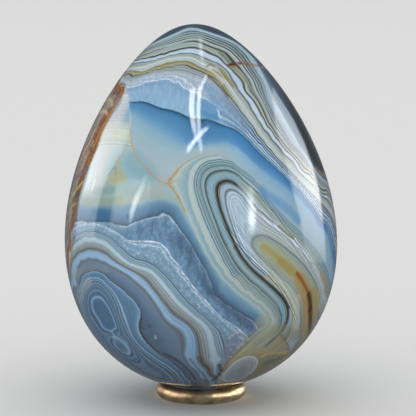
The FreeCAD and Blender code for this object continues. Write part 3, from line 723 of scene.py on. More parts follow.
families = {"crown": crownGuides, "loop": loopGuides, "slate": slateGuides, "nest": nestGuides,
            "left": leftGuides, "rust": rustGuides, "khaki": khakiGuides, "oval": ovalGuides,
            "needle": needleGuides, "side": sideGuides}
for name, guides in families.items():
    values = fieldThrough(guides, skin)
    storeOnPoints(egg.data, name, values)
    print("field", name, round(float(values.min()), 1), round(float(values.max()), 1))

pixelSize = cameraValues["distance"] / cameraValues["focalPixels"]  # mm on the egg for one pixel
lineSpread = {
    "everywhere": 0.2,      # share of the fine growth lines' strength that shows all over the egg
    "behind": 0.45,         # added to it at the back
    "behindFrom": 5,        # mm behind the axis where that starts
    "behindOver": 20,       # mm over which it grows
}


def coverAlong(strength, halfWidth, line):
    # the strength, full up to half the half width away from a line and gone at one and a half times it
    return strength * fade(1.5 - distanceToLine(skin, line) / (halfWidth * pixelSize))


stainAndHighlightColour = np.zeros((len(skin), 3))
stainAndHighlightCover = np.zeros(len(skin))
for hexColour, strength, halfWidth, line in stainsAndHighlights:
    cover = coverAlong(strength, halfWidth, line)
    stainAndHighlightColour = stainAndHighlightColour * (1 - cover[:, None]) + np.array(linear(hexColour)[:3]) * cover[:, None]
    stainAndHighlightCover = 1 - (1 - stainAndHighlightCover) * (1 - cover)
packed = np.concatenate([stainAndHighlightColour, stainAndHighlightCover[:, None]], 1).astype(np.float32)
egg.data.attributes.new("stainAndHighlight", "FLOAT_COLOR", "POINT").data.foreach_set("color", packed.ravel())
fineStart = lineSpread["everywhere"] + lineSpread["behind"] * fade(
    (skin[:, 1] - lineSpread["behindFrom"]) / lineSpread["behindOver"])
for name, least, lines in (("vein", np.zeros(len(skin)), veins), ("fine", fineStart, fineLines)):
    storeOnPoints(egg.data, name, np.max([least] + [coverAlong(*line) for line in lines], axis=0))
print("stains and veins laid")


# Materials

def addNode(tree, kind, inputs=None, output=0, **settings):
    # one node with its settings and links: an input is a number, a colour or the output that feeds it. It
    # gives back the output asked for, or the node itself where the output is None.
    made = tree.nodes.new("ShaderNode" + kind)
    for name, value in settings.items():
        setattr(made, name, value)
    for name, value in (inputs or {}).items():
        if isinstance(value, bpy.types.NodeSocket):
            tree.links.new(value, made.inputs[name])
        else:
            made.inputs[name].default_value = value
    return made if output is None else made.outputs[output]


def emptyMaterial(name):
    # a material without nodes, and its node tree
    material = bpy.data.materials.new(name)
    material.use_nodes = True
    material.node_tree.nodes.clear()
    return material, material.node_tree


def bandColour(tree, value, stops):
    # colour of a band from its number: linear between the stops. A ramp holds 32, so a longer list is laid
    # in several ramps, and each takes over where the number passes its first stop.
    colour = None
    for start in range(0, len(stops) - 1, 31):
        part = stops[start:start + 32]
        low, high = part[0][0], part[-1][0]
        share = addNode(tree, "MapRange", {"Value": value, "From Min": low, "From Max": high})
        ramp = addNode(tree, "ValToRGB", {"Fac": share}, None)
        for at, hexColour in part[1:-1]:
            ramp.color_ramp.elements.new((at - low) / (high - low))
        for element, (at, hexColour) in zip(ramp.color_ramp.elements, part):
            element.color = linear(hexColour)
        if colour is None:
            colour = ramp.outputs[0]
        else:
            past = addNode(tree, "Math", {0: value, 1: low}, operation="GREATER_THAN")
            colour = addNode(tree, "Mix", {0: past, 6: colour, 7: ramp.outputs[0]}, 2, data_type="RGBA")
    return colour


def shaded(tree, colour, gain, cover=1.0):
    # colour made lighter or darker by a gain, where the cover says
    grey = addNode(tree, "CombineColor", {0: gain, 1: gain, 2: gain})
    return addNode(tree, "Mix", {0: cover, 6: colour, 7: grey}, 2, data_type="RGBA", blend_type="MULTIPLY")


# Banded agate: a chalcedony, cut and polished to a glassy skin. Bands of different grain and iron stain are
# crisp at one edge and soft at the other, quartz grows as fine needles square to them, and the polish is
# clear enough to mirror the lamps.
agateFinish = {
    "clouds": {             # mm between bumps, detail, roughness, and a shift that sets the cloud apart
        "wander": (7.0, 2.0, 0.5, 0.0),
        "tremble": (1.3, 3.0, 0.5, 0.0),
        "swing": (24.0, 2.0, 0.5, 1.3),
        "grain": (0.32, 4.0, 0.7, 0.3),
        "mottle": (9.0, 4.0, 0.55, 0.7),
        "lumps": (2.2, 3.0, 0.6, 0.9),
        "crystals": (0.9, 5.0, 0.75, 0.5),
    },
    "wander": 1.6,          # how far a band strays, in pixels of the guides
    "tremble": 0.75,        # the same for its finer ripple
    "tailStray": 0.25,      # share of the straying that is left in the crown's tail
    "loopStray": 0.09,      # and in the loop
    "swing": 130.0,         # how far the bands stray at the back
    "swingFrom": 0.005,     # m behind the axis where that starts
    "swingTo": 0.028,       # and where it is full
    "knobs": {              # how far the lumps push the bands, in pixels of the guides
        "frost": 9.0, "nestRim": 9.0, "nestHeart": 0.6, "slate": 4.0, "rust": 8.0, "khaki": 8.0},
    "stainAndHighlightStrength": 0.95,
    "stainAndHighlightUneven": 0.8,     # how far the mottle thins and thickens a stain or painted highlight
    "lineSpacing": 1.15,    # between fine growth lines, in pixels of the guides
    "lineGain": (0.4, 1.35),  # darkest and lightest, as for the gains below
    "needleWidth": 1.4,     # pixels
    "needleStretch": 9.0,   # times as long as wide
    "needleGain": (0.88, 1.12),
    "streakSize": 1.1,      # mm across
    "streakSquash": 0.22,   # how fast the noise changes along a streak, as a share of across it
    "streakTilt": 35,       # degrees
    "streakGain": (0.8, 1.32),
    "crystalGain": 1.5,
    "frost": "#c6d6e6",
    "frostFrom": 0.06,      # the crystals' number where white sparkle starts
    "frostTo": 0.16,
    "frostCover": 0.55,
    "seam": "#b98a26",
    "seamWobble": 1.6,
    "seamHeart": 0.1,       # pixels from the seam's middle where it is full
    "seamEdge": 1.0,        # and where it ends
    "seamCover": 0.85,
    "grainGain": 0.16,
    "mottleGain": 0.22,
    "roughness": 0.04,
    "roughnessUneven": 0.03,
    "bump": 0.02,
    "bumpHeight": 0.0002,   # m
    "ior": 1.54,
}

# where things start and end, as numbers of the family that the name or the note says
bandPlaces = {
    "calm": (85.0, 125.0),           # needle: the crown's tail steadies
    "tail": (105.0, 145.0),          # needle: the crown takes its second colours
    "rightLimb": (12.0, 19.0),       # side: the loop takes its second colours
    "loopTop": (0.0, 8.0),           # side: the loop's edge moves inwards
    "loopEdge": (-8.0, 4.5),         # loop: its edge before and after that
    "frostRim": (42.5, 51.5, 2.5),   # crown: knobbly bands, with their softness
    "frost": (42.0, 74.0),           # crown: needles
    "slateCrystals": (-60.0, 0.0),
    "nestRim": (2.0, 15.0),
    "nestFrost": (-2.0, 17.0),
}
growthLines = [("crown", -60.0, -18.0), ("crown", -4.0, 44.0), ("slate", 36.0, 240.0), ("loop", 1.0, 60.0),
               ("nest", 18.0, 46.0), ("nest", 70.0, 98.0)]
seamLines = [("left", 0.0), ("loop", -8.0)]
noiseReach = (0.3, 0.7)     # between these lies nearly all of a noise
growthReach = (0.3, 0.62)


def agate():
    # each family's number is strayed by clouds and coloured from its stops, the families are laid over one
    # another, and stains with painted highlights among them, growth lines, frost, seams and grain are laid
    # over them all
    material, tree = emptyMaterial("banded_agate_polished")
    place = addNode(tree, "TexCoord", None, "Object")
    fields = {name: addNode(tree, "Attribute", None, "Fac", attribute_name=name)
              for name in [*families, "vein", "fine"]}

    def cloud(millimetres, detail, rough, shift):
        # three-dimensional noise from -0.5 to 0.5 with its bumps the given distance apart
        moved = addNode(tree, "Mapping", {"Vector": place, "Location": (shift, shift / 2, 0)})
        noise = addNode(tree, "TexNoise", {"Vector": moved, "Scale": 1000 / millimetres, "Detail": detail,
                                           "Roughness": rough})
        return addNode(tree, "Math", {0: noise, 1: 0.5}, operation="SUBTRACT")

    def window(value, low, high, soft=1.0):
        # 1 between low and high, down to 0 over the soft distance each side
        rise = addNode(tree, "MapRange", {"Value": value, "From Min": low - soft, "From Max": low + soft})
        fall = addNode(tree, "MapRange", {"Value": value, "From Min": high + soft, "From Max": high - soft})
        return addNode(tree, "Math", {0: rise, 1: fall}, operation="MULTIPLY")

    clouds = {name: cloud(*row) for name, row in agateFinish["clouds"].items()}
    crystals, lumps, mottle = clouds["crystals"], clouds["lumps"], clouds["mottle"]

    # each family's number, strayed a little, and less in the loop and the crown's tail
    stray = addNode(tree, "Math", {0: clouds["tremble"], 1: agateFinish["tremble"]}, operation="MULTIPLY")
    stray = addNode(tree, "Math", {0: clouds["wander"], 1: agateFinish["wander"], 2: stray},
                    operation="MULTIPLY_ADD")
    values = {name: addNode(tree, "Math", {0: fields[name], 1: stray}, operation="ADD")
              for name in ("nest", "slate")}
    low, high = bandPlaces["calm"]
    calm = addNode(tree, "MapRange", {"Value": fields["needle"], "From Min": low, "From Max": high,
                                      "To Min": 1.0, "To Max": agateFinish["tailStray"]})
    for name, share in (("crown", calm), ("loop", agateFinish["loopStray"])):
        values[name] = addNode(tree, "Math", {0: stray, 1: share, 2: fields[name]}, operation="MULTIPLY_ADD")
    # behind, where no guide line holds them, the bands swing widely
    depth = addNode(tree, "SeparateXYZ", {"Vector": place}, 1)
    behind = addNode(tree, "MapRange", {"Value": depth, "From Min": agateFinish["swingFrom"],
                                        "From Max": agateFinish["swingTo"], "To Max": agateFinish["swing"]})
    swing = addNode(tree, "Math", {0: clouds["swing"], 1: behind}, operation="MULTIPLY")
    for name in ("crown", "slate", "left"):
        values[name] = addNode(tree, "Math", {0: swing, 1: values.get(name, fields[name])}, operation="ADD")
    # the frosted bands are knobbly, and so are the rust and the ochre zone
    knobs = agateFinish["knobs"]
    low, high = bandPlaces["nestRim"]
    frostRim = window(values["crown"], *bandPlaces["frostRim"])
    strays = {
        "crown": addNode(tree, "Math", {0: frostRim, 1: knobs["frost"]}, operation="MULTIPLY"),
        "nest": addNode(tree, "MapRange", {"Value": values["nest"], "From Min": low, "From Max": high,
                                           "To Min": knobs["nestRim"], "To Max": knobs["nestHeart"]}),
        "slate": knobs["slate"],
        "rust": knobs["rust"],
        "khaki": knobs["khaki"],
    }
    knobbly = {name: addNode(tree, "Math", {0: lumps, 1: amount, 2: values.get(name, fields[name])},
                             operation="MULTIPLY_ADD") for name, amount in strays.items()}

    # bands, each family laid over the ones before it where it starts. The crown and the loop change to their
    # second colours along their length.
    changes = {}
    for name, field in (("tail", "needle"), ("rightLimb", "side")):
        low, high = bandPlaces[name]
        changes[name] = addNode(tree, "MapRange", {"Value": fields[field], "From Min": low,
                                                   "From Max": high})
    low, high = bandPlaces["loopTop"]
    outside, inside = bandPlaces["loopEdge"]
    loopStart = addNode(tree, "MapRange", {"Value": fields["side"], "From Min": low, "From Max": high,
                                           "To Min": outside, "To Max": inside})
    layers = [  # name, colours, field and place of its edge, the edge's softness, second colours
        ("crown", crownColours, None, 0.0, 0.0, (crownTailColours, changes["tail"])),
        ("slate", slateColours, "left", 0.0, 0.3, None),
        ("loop", loopColours, "loop", loopStart, 0.3, (loopRightColours, changes["rightLimb"])),
        ("nest", nestColours, "nest", 0.0, 0.2, None),
        ("khaki", khakiColours, "khaki", 0.0, 2.5, None),
        ("oval", ovalColours, "oval", 0.0, 0.5, None),
        ("rust", rustColours, "rust", 0.0, 0.3, None),
    ]
    outsideLoop = addNode(tree, "Math", {0: fields["loop"], 1: 0.0}, operation="LESS_THAN")
    masks = {}
    for name, stops, field, start, soft, second in layers:
        value = knobbly.get(name, values.get(name, fields[name]))
        bands = bandColour(tree, value, stops)
        if second:
            other = bandColour(tree, value, second[0])
            bands = addNode(tree, "Mix", {0: second[1], 6: bands, 7: other}, 2, data_type="RGBA")
        if field is None:
            colour = bands
            continue
        past = addNode(tree, "Math", {0: values.get(field, fields[field]), 1: start}, operation="SUBTRACT")
        edge = addNode(tree, "MapRange", {"Value": past, "From Min": -soft, "From Max": soft})
        if name == "nest":
            edge = addNode(tree, "Math", {0: edge, 1: outsideLoop}, operation="MULTIPLY")
        masks[name] = edge
        colour = addNode(tree, "Mix", {0: edge, 6: colour, 7: bands}, 2, data_type="RGBA")

    # iron stains, and the painted highlights laid with them
    stainAndHighlight = addNode(tree, "Attribute", None, None, attribute_name="stainAndHighlight")
    kept = addNode(tree, "Math", {0: mottle, 1: agateFinish["stainAndHighlightUneven"], 2: agateFinish["stainAndHighlightStrength"]},
                   operation="MULTIPLY_ADD")
    cover = addNode(tree, "Math", {0: stainAndHighlight.outputs["Alpha"], 1: kept}, operation="MULTIPLY")
    bare = addNode(tree, "Math", {0: 1.0, 1: cover}, operation="SUBTRACT")
    under = addNode(tree, "VectorMath", {0: colour, 1: bare}, operation="MULTIPLY")
    colour = addNode(tree, "VectorMath", {0: stainAndHighlight.outputs["Color"], 1: kept, 2: under},
                     operation="MULTIPLY_ADD")

    # fine growth lines of uneven weight, from one-dimensional noise along each family's number
    masks["crown"] = addNode(tree, "Math", {0: 1.0, 1: masks["slate"]}, operation="SUBTRACT")
    weakest, strongest = growthReach
    darkest, lightest = agateFinish["lineGain"]
    for name, low, high in growthLines:
        lines = addNode(tree, "TexNoise", {"W": values[name], "Scale": 1 / agateFinish["lineSpacing"],
                                           "Detail": 1.0, "Roughness": 0.6}, noise_dimensions="1D")
        gain = addNode(tree, "MapRange", {"Value": lines, "From Min": weakest, "From Max": strongest,
                                          "To Min": darkest, "To Max": lightest})
        shown = addNode(tree, "Math", {0: window(values[name], low, high), 1: masks[name]},
                        operation="MULTIPLY")
        shown = addNode(tree, "Math", {0: shown, 1: fields["fine"]}, operation="MULTIPLY")
        colour = shaded(tree, colour, gain, shown)

    # frost on the crown's last bands: needles of quartz that stand square to them
    along = addNode(tree, "Math", {0: values["crown"], 1: agateFinish["needleStretch"]}, operation="DIVIDE")
    across = addNode(tree, "CombineXYZ", {"X": fields["needle"], "Y": along})
    needles = addNode(tree, "TexNoise", {"Vector": across, "Scale": 1 / agateFinish["needleWidth"],
                                         "Detail": 2.0, "Roughness": 0.6}, noise_dimensions="2D")
    frostCover = window(values["crown"], *bandPlaces["frost"])
    frostCover = addNode(tree, "Math", {0: masks["crown"], 1: frostCover}, operation="MULTIPLY")
    # streaks in the slate zone, outside the loop and the nest
    slanted = addNode(tree, "Mapping", {"Vector": place, "Scale": (1, 1, agateFinish["streakSquash"]),
                                        "Rotation": (0, math.radians(agateFinish["streakTilt"]), 0)})
    streaks = addNode(tree, "TexNoise", {"Vector": slanted, "Scale": 1000 / agateFinish["streakSize"],
                                         "Detail": 4.0, "Roughness": 0.65})
    slateCover = addNode(tree, "Math", {0: 1.0, 1: masks["loop"]}, operation="SUBTRACT")
    slateCover = addNode(tree, "Math", {0: slateCover, 1: masks["nest"]}, operation="SUBTRACT",
                         use_clamp=True)
    slateCover = addNode(tree, "Math", {0: slateCover, 1: masks["slate"]}, operation="MULTIPLY")
    crystalZone = window(values["slate"], *bandPlaces["slateCrystals"])
    slateCover = addNode(tree, "Math", {0: slateCover, 1: crystalZone}, operation="MULTIPLY")
    weakest, strongest = noiseReach
    for noise, gains, shown in ((needles, "needleGain", frostCover), (streaks, "streakGain", slateCover)):
        darkest, lightest = agateFinish[gains]
        gain = addNode(tree, "MapRange", {"Value": noise, "From Min": weakest, "From Max": strongest,
                                          "To Min": darkest, "To Max": lightest})
        colour = shaded(tree, colour, gain, shown)
    # crystals in the slate zone and the nest's rim, with a white sparkle between the rim's
    nestFrost = window(values["nest"], *bandPlaces["nestFrost"])
    nestFrost = addNode(tree, "Math", {0: masks["nest"], 1: nestFrost}, operation="MULTIPLY")
    frosted = addNode(tree, "Math", {0: nestFrost, 1: slateCover}, operation="MAXIMUM")
    gain = addNode(tree, "Math", {0: crystals, 1: agateFinish["crystalGain"], 2: 1.0},
                   operation="MULTIPLY_ADD")
    colour = shaded(tree, colour, gain, frosted)
    sparkle = addNode(tree, "MapRange", {"Value": crystals, "From Min": agateFinish["frostFrom"],
                                         "From Max": agateFinish["frostTo"],
                                         "To Max": agateFinish["frostCover"]})
    sparkle = addNode(tree, "Math", {0: sparkle, 1: nestFrost}, operation="MULTIPLY")
    colour = addNode(tree, "Mix", {0: sparkle, 6: colour, 7: linear(agateFinish["frost"])}, 2,
                     data_type="RGBA")

    # orange seams between the families
    seams = 0.0
    for name, middle in seamLines:
        away = addNode(tree, "Math", {0: fields[name], 1: middle}, operation="SUBTRACT")
        away = addNode(tree, "Math", {0: away}, operation="ABSOLUTE")
        away = addNode(tree, "Math", {0: lumps, 1: agateFinish["seamWobble"], 2: away},
                       operation="MULTIPLY_ADD")
        near = addNode(tree, "MapRange", {"Value": away, "From Min": agateFinish["seamEdge"],
                                          "From Max": agateFinish["seamHeart"],
                                          "To Max": agateFinish["seamCover"]})
        seams = addNode(tree, "Math", {0: seams, 1: near}, operation="MAXIMUM")
    seams = addNode(tree, "Math", {0: seams, 1: fields["vein"]}, operation="MULTIPLY")
    colour = addNode(tree, "Mix", {0: seams, 6: colour, 7: linear(agateFinish["seam"])}, 2, data_type="RGBA")

    # quartz grain and cloudiness, then the polish
    grain = clouds["grain"]
    gain = addNode(tree, "Math", {0: grain, 1: agateFinish["grainGain"], 2: 1.0}, operation="MULTIPLY_ADD")
    gain = addNode(tree, "Math", {0: mottle, 1: agateFinish["mottleGain"], 2: gain},
                   operation="MULTIPLY_ADD")
    colour = shaded(tree, colour, gain)
    polish = addNode(tree, "Bump", {"Strength": agateFinish["bump"], "Distance": agateFinish["bumpHeight"],
                                    "Height": grain})
    wear = addNode(tree, "Math", {0: mottle, 1: agateFinish["roughnessUneven"], 2: agateFinish["roughness"]},
                   operation="MULTIPLY_ADD")
    stone = addNode(tree, "BsdfPrincipled", {"Base Color": colour, "Roughness": wear,
                                             "IOR": agateFinish["ior"], "Normal": polish})
    addNode(tree, "OutputMaterial", {"Surface": stone}, None)
    return material


egg.data.materials.append(agate())
print("egg finished")


# Ring

ringShape = {
    "outerDiameter": 22.6,  # mm, as the next two are
    "barDiameter": 3.8,
    "footDepth": 0.2,
    "unevenness": 0.09,     # mm, how far the cast bar's side wanders in
    "swell": (7, 2.1, 0.4),  # slowest wave: how often round the ring, its twist, its start
    "waves": [              # finer waves: strength, how often round the ring and the bar, start
        (0.8, 11, -1.7, 1.9), (0.7, 17, 2, 3.1), (0.5, 29, -3, 0)],
    "columns": 480,
    "sides": 72,
}


def ringGrid():
    # a round section carried round a circle, its radius eased in by a sum of sines divided by what their
    # strengths add up to, and its underside held to the table
    bar = ringShape["barDiameter"] / 2
    centre = ringShape["outerDiameter"] / 2 - bar
    around = np.linspace(0, math.tau, ringShape["columns"], endpoint=False)[None]
    section = np.linspace(0, math.tau, ringShape["sides"], endpoint=False)[:, None]
    count, twist, start = ringShape["swell"]
    waves = np.sin(count * around + twist * np.cos(section) + start)
    for strength, count, twist, start in ringShape["waves"]:
        waves = waves + strength * np.sin(count * around + twist * section + start)
    most = 1 + sum(row[0] for row in ringShape["waves"])
    radius = bar - ringShape["unevenness"] * (1 + waves / most) / 2
    height = bar - ringShape["footDepth"] + radius * np.sin(section)
    out = centre + radius * np.cos(section)
    return np.stack([out * np.cos(around), out * np.sin(around), np.clip(height, 0, None)], -1)


def closedTube(name, points):
    # object from rings of points that close both ways
    index = np.arange(points.shape[0] * points.shape[1]).reshape(points.shape[:2])
    right = np.roll(index, -1, 1)
    mesh = quadMesh(name, points, np.stack([index, right, np.roll(right, -1, 0), np.roll(index, -1, 0)], -1))
    mesh.polygons.foreach_set("use_smooth", np.ones(index.size, bool))
    mesh.update()
    return newObject(name, mesh)


ring = closedTube("cast_ring", ringGrid())
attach(ring, "ring")
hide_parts("bronze_ring")


# Cast bronze, worn smooth by handling: golden brown and satin, a little browner in the shallow hollows of
# the casting, with a fine sandy skin.
bronzeFinish = {
    "rubbed": "#dfcaa3",
    "skin": "#c6aa80",
    "hollow": "#927562",
    "hollowSize": 3.4,      # mm
    "hollowReach": (0.3, 0.55),   # of the patches' noise, from hollow to skin
    "rubbedReach": (0.6, 0.78),   # of patches and pits together, from skin to rubbed
    "pitSize": 0.35,        # mm
    "pitWear": 0.3,         # how much the pits break up the rubbed places
    "pitDepth": 0.2,        # of the patches' depth
    "roughness": 0.36,
    "hollowRougher": 0.12,
    "bump": 0.35,
    "bumpHeight": 0.0002,   # m
}


def bronze():
    # two noises, patches and pits, choose between hollow, skin and rubbed metal and give the relief
    material, tree = emptyMaterial("bronze_cast_worn")
    place = addNode(tree, "TexCoord", None, "Object")
    patches = addNode(tree, "TexNoise", {"Vector": place, "Scale": 1000 / bronzeFinish["hollowSize"],
                                         "Detail": 5.0, "Roughness": 0.6})
    pits = addNode(tree, "TexNoise", {"Vector": place, "Scale": 1000 / bronzeFinish["pitSize"],
                                      "Detail": 4.0, "Roughness": 0.65})
    low, high = bronzeFinish["hollowReach"]
    worn = addNode(tree, "MapRange", {"Value": patches, "From Min": low, "From Max": high})
    colour = addNode(tree, "Mix", {0: worn, 6: linear(bronzeFinish["hollow"]),
                                   7: linear(bronzeFinish["skin"])}, 2, data_type="RGBA")
    low, high = bronzeFinish["rubbedReach"]
    rubbed = addNode(tree, "Math", {0: pits, 1: bronzeFinish["pitWear"], 2: patches},
                     operation="MULTIPLY_ADD")
    rubbed = addNode(tree, "MapRange", {"Value": rubbed, "From Min": low, "From Max": high})
    colour = addNode(tree, "Mix", {0: rubbed, 6: colour, 7: linear(bronzeFinish["rubbed"])}, 2,
                     data_type="RGBA")
    dull = addNode(tree, "MapRange", {"Value": worn, "To Max": bronzeFinish["roughness"],
                                      "To Min": bronzeFinish["roughness"] + bronzeFinish["hollowRougher"]})
    relief = addNode(tree, "Math", {0: pits, 1: bronzeFinish["pitDepth"], 2: patches},
                     operation="MULTIPLY_ADD")
    bumped = addNode(tree, "Bump", {"Strength": bronzeFinish["bump"], "Distance": bronzeFinish["bumpHeight"],
                                    "Height": relief})
    metal = addNode(tree, "BsdfPrincipled", {"Base Color": colour, "Metallic": 1.0, "Roughness": dull,
                                             "Normal": bumped})
    addNode(tree, "OutputMaterial", {"Surface": metal}, None)
    return material


ring.data.materials.append(bronze())
print("ring finished")


# Floor, backdrop, surroundings and lamps

studio = {
    "floor": "#dcdcda",
    "floorHalf": 5,         # m
    "backdrop": "#d6d7d6",
    "backdropRadius": 4900,  # mm
    "backdropHeight": 2940,  # mm
    "backdropBulge": 1,     # mm, at the middle of its floor and roof
    "backdropSides": 64,
    "surroundings": "#a9adb2",
    "surroundingsStrength": 0.35,
    "lampAim": 0.045,       # m above the table
    "panelDistance": 700,   # mm from the egg
    "panelStep": 8,         # mm by which each panel hangs in front of the one before
    "panelEdge": 0.01,      # share of a panel's width over which it fades in from each side
    "panelRows": 49,
    "panelColumns": 13,
    "nudge": 0.05,          # mm, for the slope of the skin
}

half = studio["floorHalf"]
floorGrid = bpy.data.meshes.new("floor")
floorGrid.from_pydata([(-half, -half, 0), (half, -half, 0), (half, half, 0), (-half, half, 0)], [],
                      [(0, 1, 2, 3)])
floor = newObject("floor", floorGrid)
# dark to the polish and to the light under the egg, as a dull floor in a dim studio is
floor.visible_glossy = False
floor.visible_diffuse = False
floorMaterial, floorTree = emptyMaterial("floor_matt_paint")
paint = addNode(floorTree, "BsdfPrincipled", {"Base Color": linear(studio["floor"]), "Roughness": 1.0,
                                              "Specular IOR Level": 0.0})
addNode(floorTree, "OutputMaterial", {"Surface": paint}, None)
floor.data.materials.append(floorMaterial)

# a round paper wall that glows as brightly as the lit floor in front of it
wallTurns = np.linspace(0, math.tau, studio["backdropSides"], endpoint=False)
wallRing = studio["backdropRadius"] * np.stack([np.cos(wallTurns), np.sin(wallTurns), 0 * wallTurns], -1)
wallTop = np.array([0, 0, studio["backdropHeight"]])
bulge = studio["backdropBulge"]
backdrop = closedGrid("backdrop", np.stack([wallRing, wallRing + wallTop]), (0, 0, -bulge),
                      (0, 0, studio["backdropHeight"] + bulge))[0]
backdrop.visible_glossy = backdrop.visible_diffuse = backdrop.visible_shadow = False
paperMaterial, paperTree = emptyMaterial("backdrop_paper")
paper = addNode(paperTree, "Emission", {"Color": linear(studio["backdrop"])})
addNode(paperTree, "OutputMaterial", {"Surface": paper}, None)
paperMaterial.cycles.emission_sampling = "NONE"
backdrop.data.materials.append(paperMaterial)

world = bpy.data.worlds.new("studio")
bpy.context.scene.world = world
world.use_nodes = True
background = world.node_tree.nodes["Background"]
background.inputs["Color"].default_value = linear(studio["surroundings"])
background.inputs["Strength"].default_value = studio["surroundingsStrength"]

lamps = [  # name, place and size in metres, watts, the only piece that it lights, whether that mirrors it
    ("front_fill", (-0.2, -1.2, 0.5), 0.8, 13.0, egg, False),
    ("left_fill", (-1.1, -0.3, 0.3), 0.6, 5.0, egg, False),
    ("right_fill", (1.1, -0.3, 0.3), 0.6, 5.0, egg, False),
    ("back_left_fill", (-0.9, 0.9, 0.6), 0.6, 5.0, egg, False),
    ("back_right_fill", (0.9, 0.9, 0.6), 0.6, 5.0, egg, False),
    ("floor_light", (0.0, 0.0, 4.0), 16.0, 850.0, floor, False),
    ("ring_front", (0.0, -1.0, 0.30), 1.6, 9.0, ring, False),
    ("ring_low_front", (0.0, -0.9, 0.02), 0.9, 5.0, ring, False),
    ("ring_left_front", (-0.95, -0.55, 0.35), 0.35, 5.0, ring, True),
    ("ring_right_front", (0.95, -0.55, 0.35), 0.35, 5.0, ring, True),
    ("ring_left", (-0.9, 0.1, 0.3), 0.8, 4.0, ring, True),
    ("ring_right", (0.9, 0.1, 0.3), 0.8, 4.0, ring, True),
    ("ring_back", (0.0, 0.9, 0.35), 1.6, 9.0, ring, False),
]
for name, place, size, watts, onlyOn, mirrored in lamps:
    lampData = bpy.data.lights.new(name, "AREA")
    lampData.size = size
    lampData.energy = watts
    lamp = newObject(name, lampData)
    lamp.location = place
    aim = Vector((0, 0, studio["lampAim"])) - Vector(place)
    lamp.rotation_euler = aim.to_track_quat("-Z", "Y").to_euler()
    lamp.visible_camera = False
    lamp.visible_glossy = mirrored
    lit = bpy.data.collections.new(name)
    lit.objects.link(onlyOn)
    lamp.light_linking.receiver_collection = lit

# Lamp panels that the polish mirrors to the camera. Each row is a height in the picture, the panel's left
# and right edges there, and how much light it adds at each of them.
panels = {
    "left_softbox": [
        (88, 125, 128, 0.10, 0.10), (103, 121, 129.5, 0.22, 0.15), (113, 113, 131, 0.28, 0.13),
        (122, 107, 132, 0.32, 0.13), (132, 102, 131, 0.34, 0.12), (142, 99, 127, 0.38, 0.11),
        (152, 95, 123, 0.50, 0.10), (162, 90.5, 117, 0.52, 0.10), (175, 87, 110, 0.58, 0.10),
        (187, 83.5, 104.5, 0.52, 0.14), (198, 80, 101, 0.26, 0.14), (212, 77, 98, 0.20, 0.14),
        (225, 75.5, 96, 0.18, 0.14), (239, 75, 95, 0.12, 0.10)],
    "left_window": [
        (179.5, 116, 152, 0.05, 0.12), (186, 115, 152, 0.07, 0.10), (200, 112, 152, 0.12, 0.05),
        (214, 109.5, 150, 0.14, 0.03), (226, 108, 146, 0.10, 0.0), (237, 107, 140, 0.0, 0.0)],
    "window_streak": [
        (176, 142, 149, 0.10, 0.10), (188, 137, 146, 0.26, 0.26), (197, 132, 142, 0.45, 0.42),
        (206, 130, 138, 0.58, 0.45), (213, 128, 135.5, 0.55, 0.4), (223, 127, 133, 0.25, 0.12)],
    "right_softbox": [
        (88, 272, 274, 0.20, 0.20), (95, 272.5, 278, 0.22, 0.24), (110, 273, 288, 0.22, 0.26),
        (121, 274, 295, 0.22, 0.30), (132, 276, 300, 0.20, 0.34), (142, 279, 305, 0.18, 0.38),
        (156, 283, 310, 0.16, 0.46), (168, 286, 314.5, 0.16, 0.58), (182, 289, 318, 0.18, 0.68),
        (192, 292, 320.5, 0.20, 0.66), (203, 295, 322, 0.18, 0.52), (215, 298, 323.5, 0.15, 0.38),
        (225, 300, 324.5, 0.14, 0.32), (240, 303, 326, 0.10, 0.26), (262, 306, 327, 0.04, 0.12)],
    "small_softbox": [
        (186, 246, 255, 0.14, 0.14), (198, 245.5, 256, 0.24, 0.26), (208, 246, 257, 0.40, 0.42),
        (217, 246.5, 257, 0.80, 0.80), (224, 247, 257, 0.55, 0.50), (234, 248, 256, 0.12, 0.10)],
    "top_strip": [
        (37, 197.5, 203, 0.10, 0.10), (46, 198, 203.5, 0.28, 0.24), (54, 198.5, 204, 0.30, 0.25),
        (66, 201, 206, 0.10, 0.10)],
    "left_tube": [
        (88, 190, 196, 0.45, 0.45), (100, 189, 194.5, 0.60, 0.52), (112, 189, 194.5, 0.65, 0.5),
        (124, 191, 196, 0.6, 0.5), (134, 193.5, 197, 0.5, 0.4), (142, 195.5, 198, 0.1, 0.1)],
    "right_tube": [
        (75, 205.5, 208, 0.35, 0.35), (90, 198, 201.5, 0.60, 0.50), (105, 196.5, 200.5, 0.65, 0.55),
        (125, 197, 200.5, 0.6, 0.55), (140, 198, 201.5, 0.5, 0.45), (152, 200, 202.5, 0.35, 0.3)],
    "tube_slash": [
        (127, 206.5, 209.5, 0.5, 0.5), (130, 202.5, 207, 0.9, 0.8), (134, 198, 202.5, 0.95, 0.85),
        (140, 193, 197.5, 0.95, 0.85), (146, 188.5, 192.5, 0.85, 0.8), (152, 186, 188.5, 0.5, 0.5)],
}
softEdges = {"small_softbox": 0.45, "window_streak": 0.4, "top_strip": 0.4}  # in place of panelEdge


def mirrorShare(cosine, ior):
    # share of light that a clear skin mirrors: the mean of the two polarisations' shares
    inner = np.sqrt(1 - (1 - cosine**2) / ior**2)
    return (((cosine - ior * inner) / (cosine + ior * inner))**2
            + ((ior * cosine - inner) / (ior * cosine + inner))**2) / 2


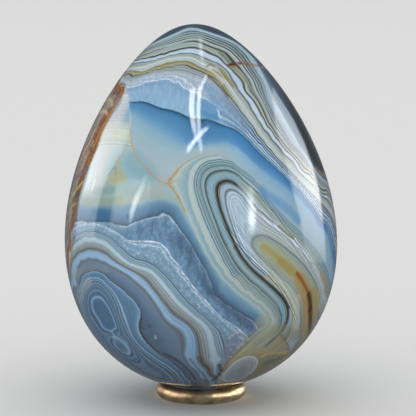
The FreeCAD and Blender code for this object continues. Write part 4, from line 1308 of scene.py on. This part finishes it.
def panelGrid(rows, reach, edge):
    # each pixel's ray is mirrored in the skin and followed for the panel's distance. The panel shines there
    # with the light wanted, divided by the share that the skin mirrors.
    rows = np.array(rows, float)
    down = np.linspace(rows[0, 0], rows[-1, 0], studio["panelRows"])
    left, right, leftLight, rightLight = (np.interp(down, rows[:, 0], column)[:, None]
                                          for column in rows.T[1:])
    across = np.linspace(0, 1, studio["panelColumns"])
    pixels = np.stack([left + (right - left) * across, down[:, None] + 0 * across], -1).reshape(-1, 2)
    spots = dropOnEgg(pixels)
    nudge = studio["nudge"]
    slopes = np.stack([skinGap(spots + nudge * axis) - skinGap(spots - nudge * axis)
                       for axis in np.eye(3)], -1)
    normals = slopes / np.linalg.norm(slopes, axis=1, keepdims=True)
    views = spots - cameraPlace
    views /= np.linalg.norm(views, axis=1, keepdims=True)
    facing = -(views * normals).sum(1, keepdims=True)
    ends = spots + (views + 2 * facing * normals) * reach
    light = leftLight + (rightLight - leftLight) * across
    light = light * np.clip(np.minimum(across, 1 - across) / edge, 0, 1)
    glow = light.ravel() / mirrorShare(facing[:, 0], agateFinish["ior"])
    return ends.reshape(len(down), len(across), 3), glow


panelMaterial, panelTree = emptyMaterial("lamp_panel")
panelGlow = addNode(panelTree, "Attribute", None, "Fac", attribute_name="glow")
panelLight = addNode(panelTree, "Emission", {"Strength": panelGlow})
addNode(panelTree, "OutputMaterial", {"Surface": panelLight}, None)
panelMaterial.cycles.emission_sampling = "NONE"
for count, (name, rows) in enumerate(panels.items()):
    points, glow = panelGrid(rows, studio["panelDistance"] - count * studio["panelStep"],
                             softEdges.get(name, studio["panelEdge"]))
    index = np.arange(len(glow)).reshape(points.shape[:2])
    sheet = quadMesh(name, points, np.stack([index[:-1, :-1], index[:-1, 1:], index[1:, 1:], index[1:, :-1]],
                                            -1))
    storeOnPoints(sheet, "glow", glow)
    sheet.materials.append(panelMaterial)
    panel = newObject(name, sheet)
    panel.visible_camera = False
    panel.visible_diffuse = False
    panel.visible_shadow = False
print("lamps placed")
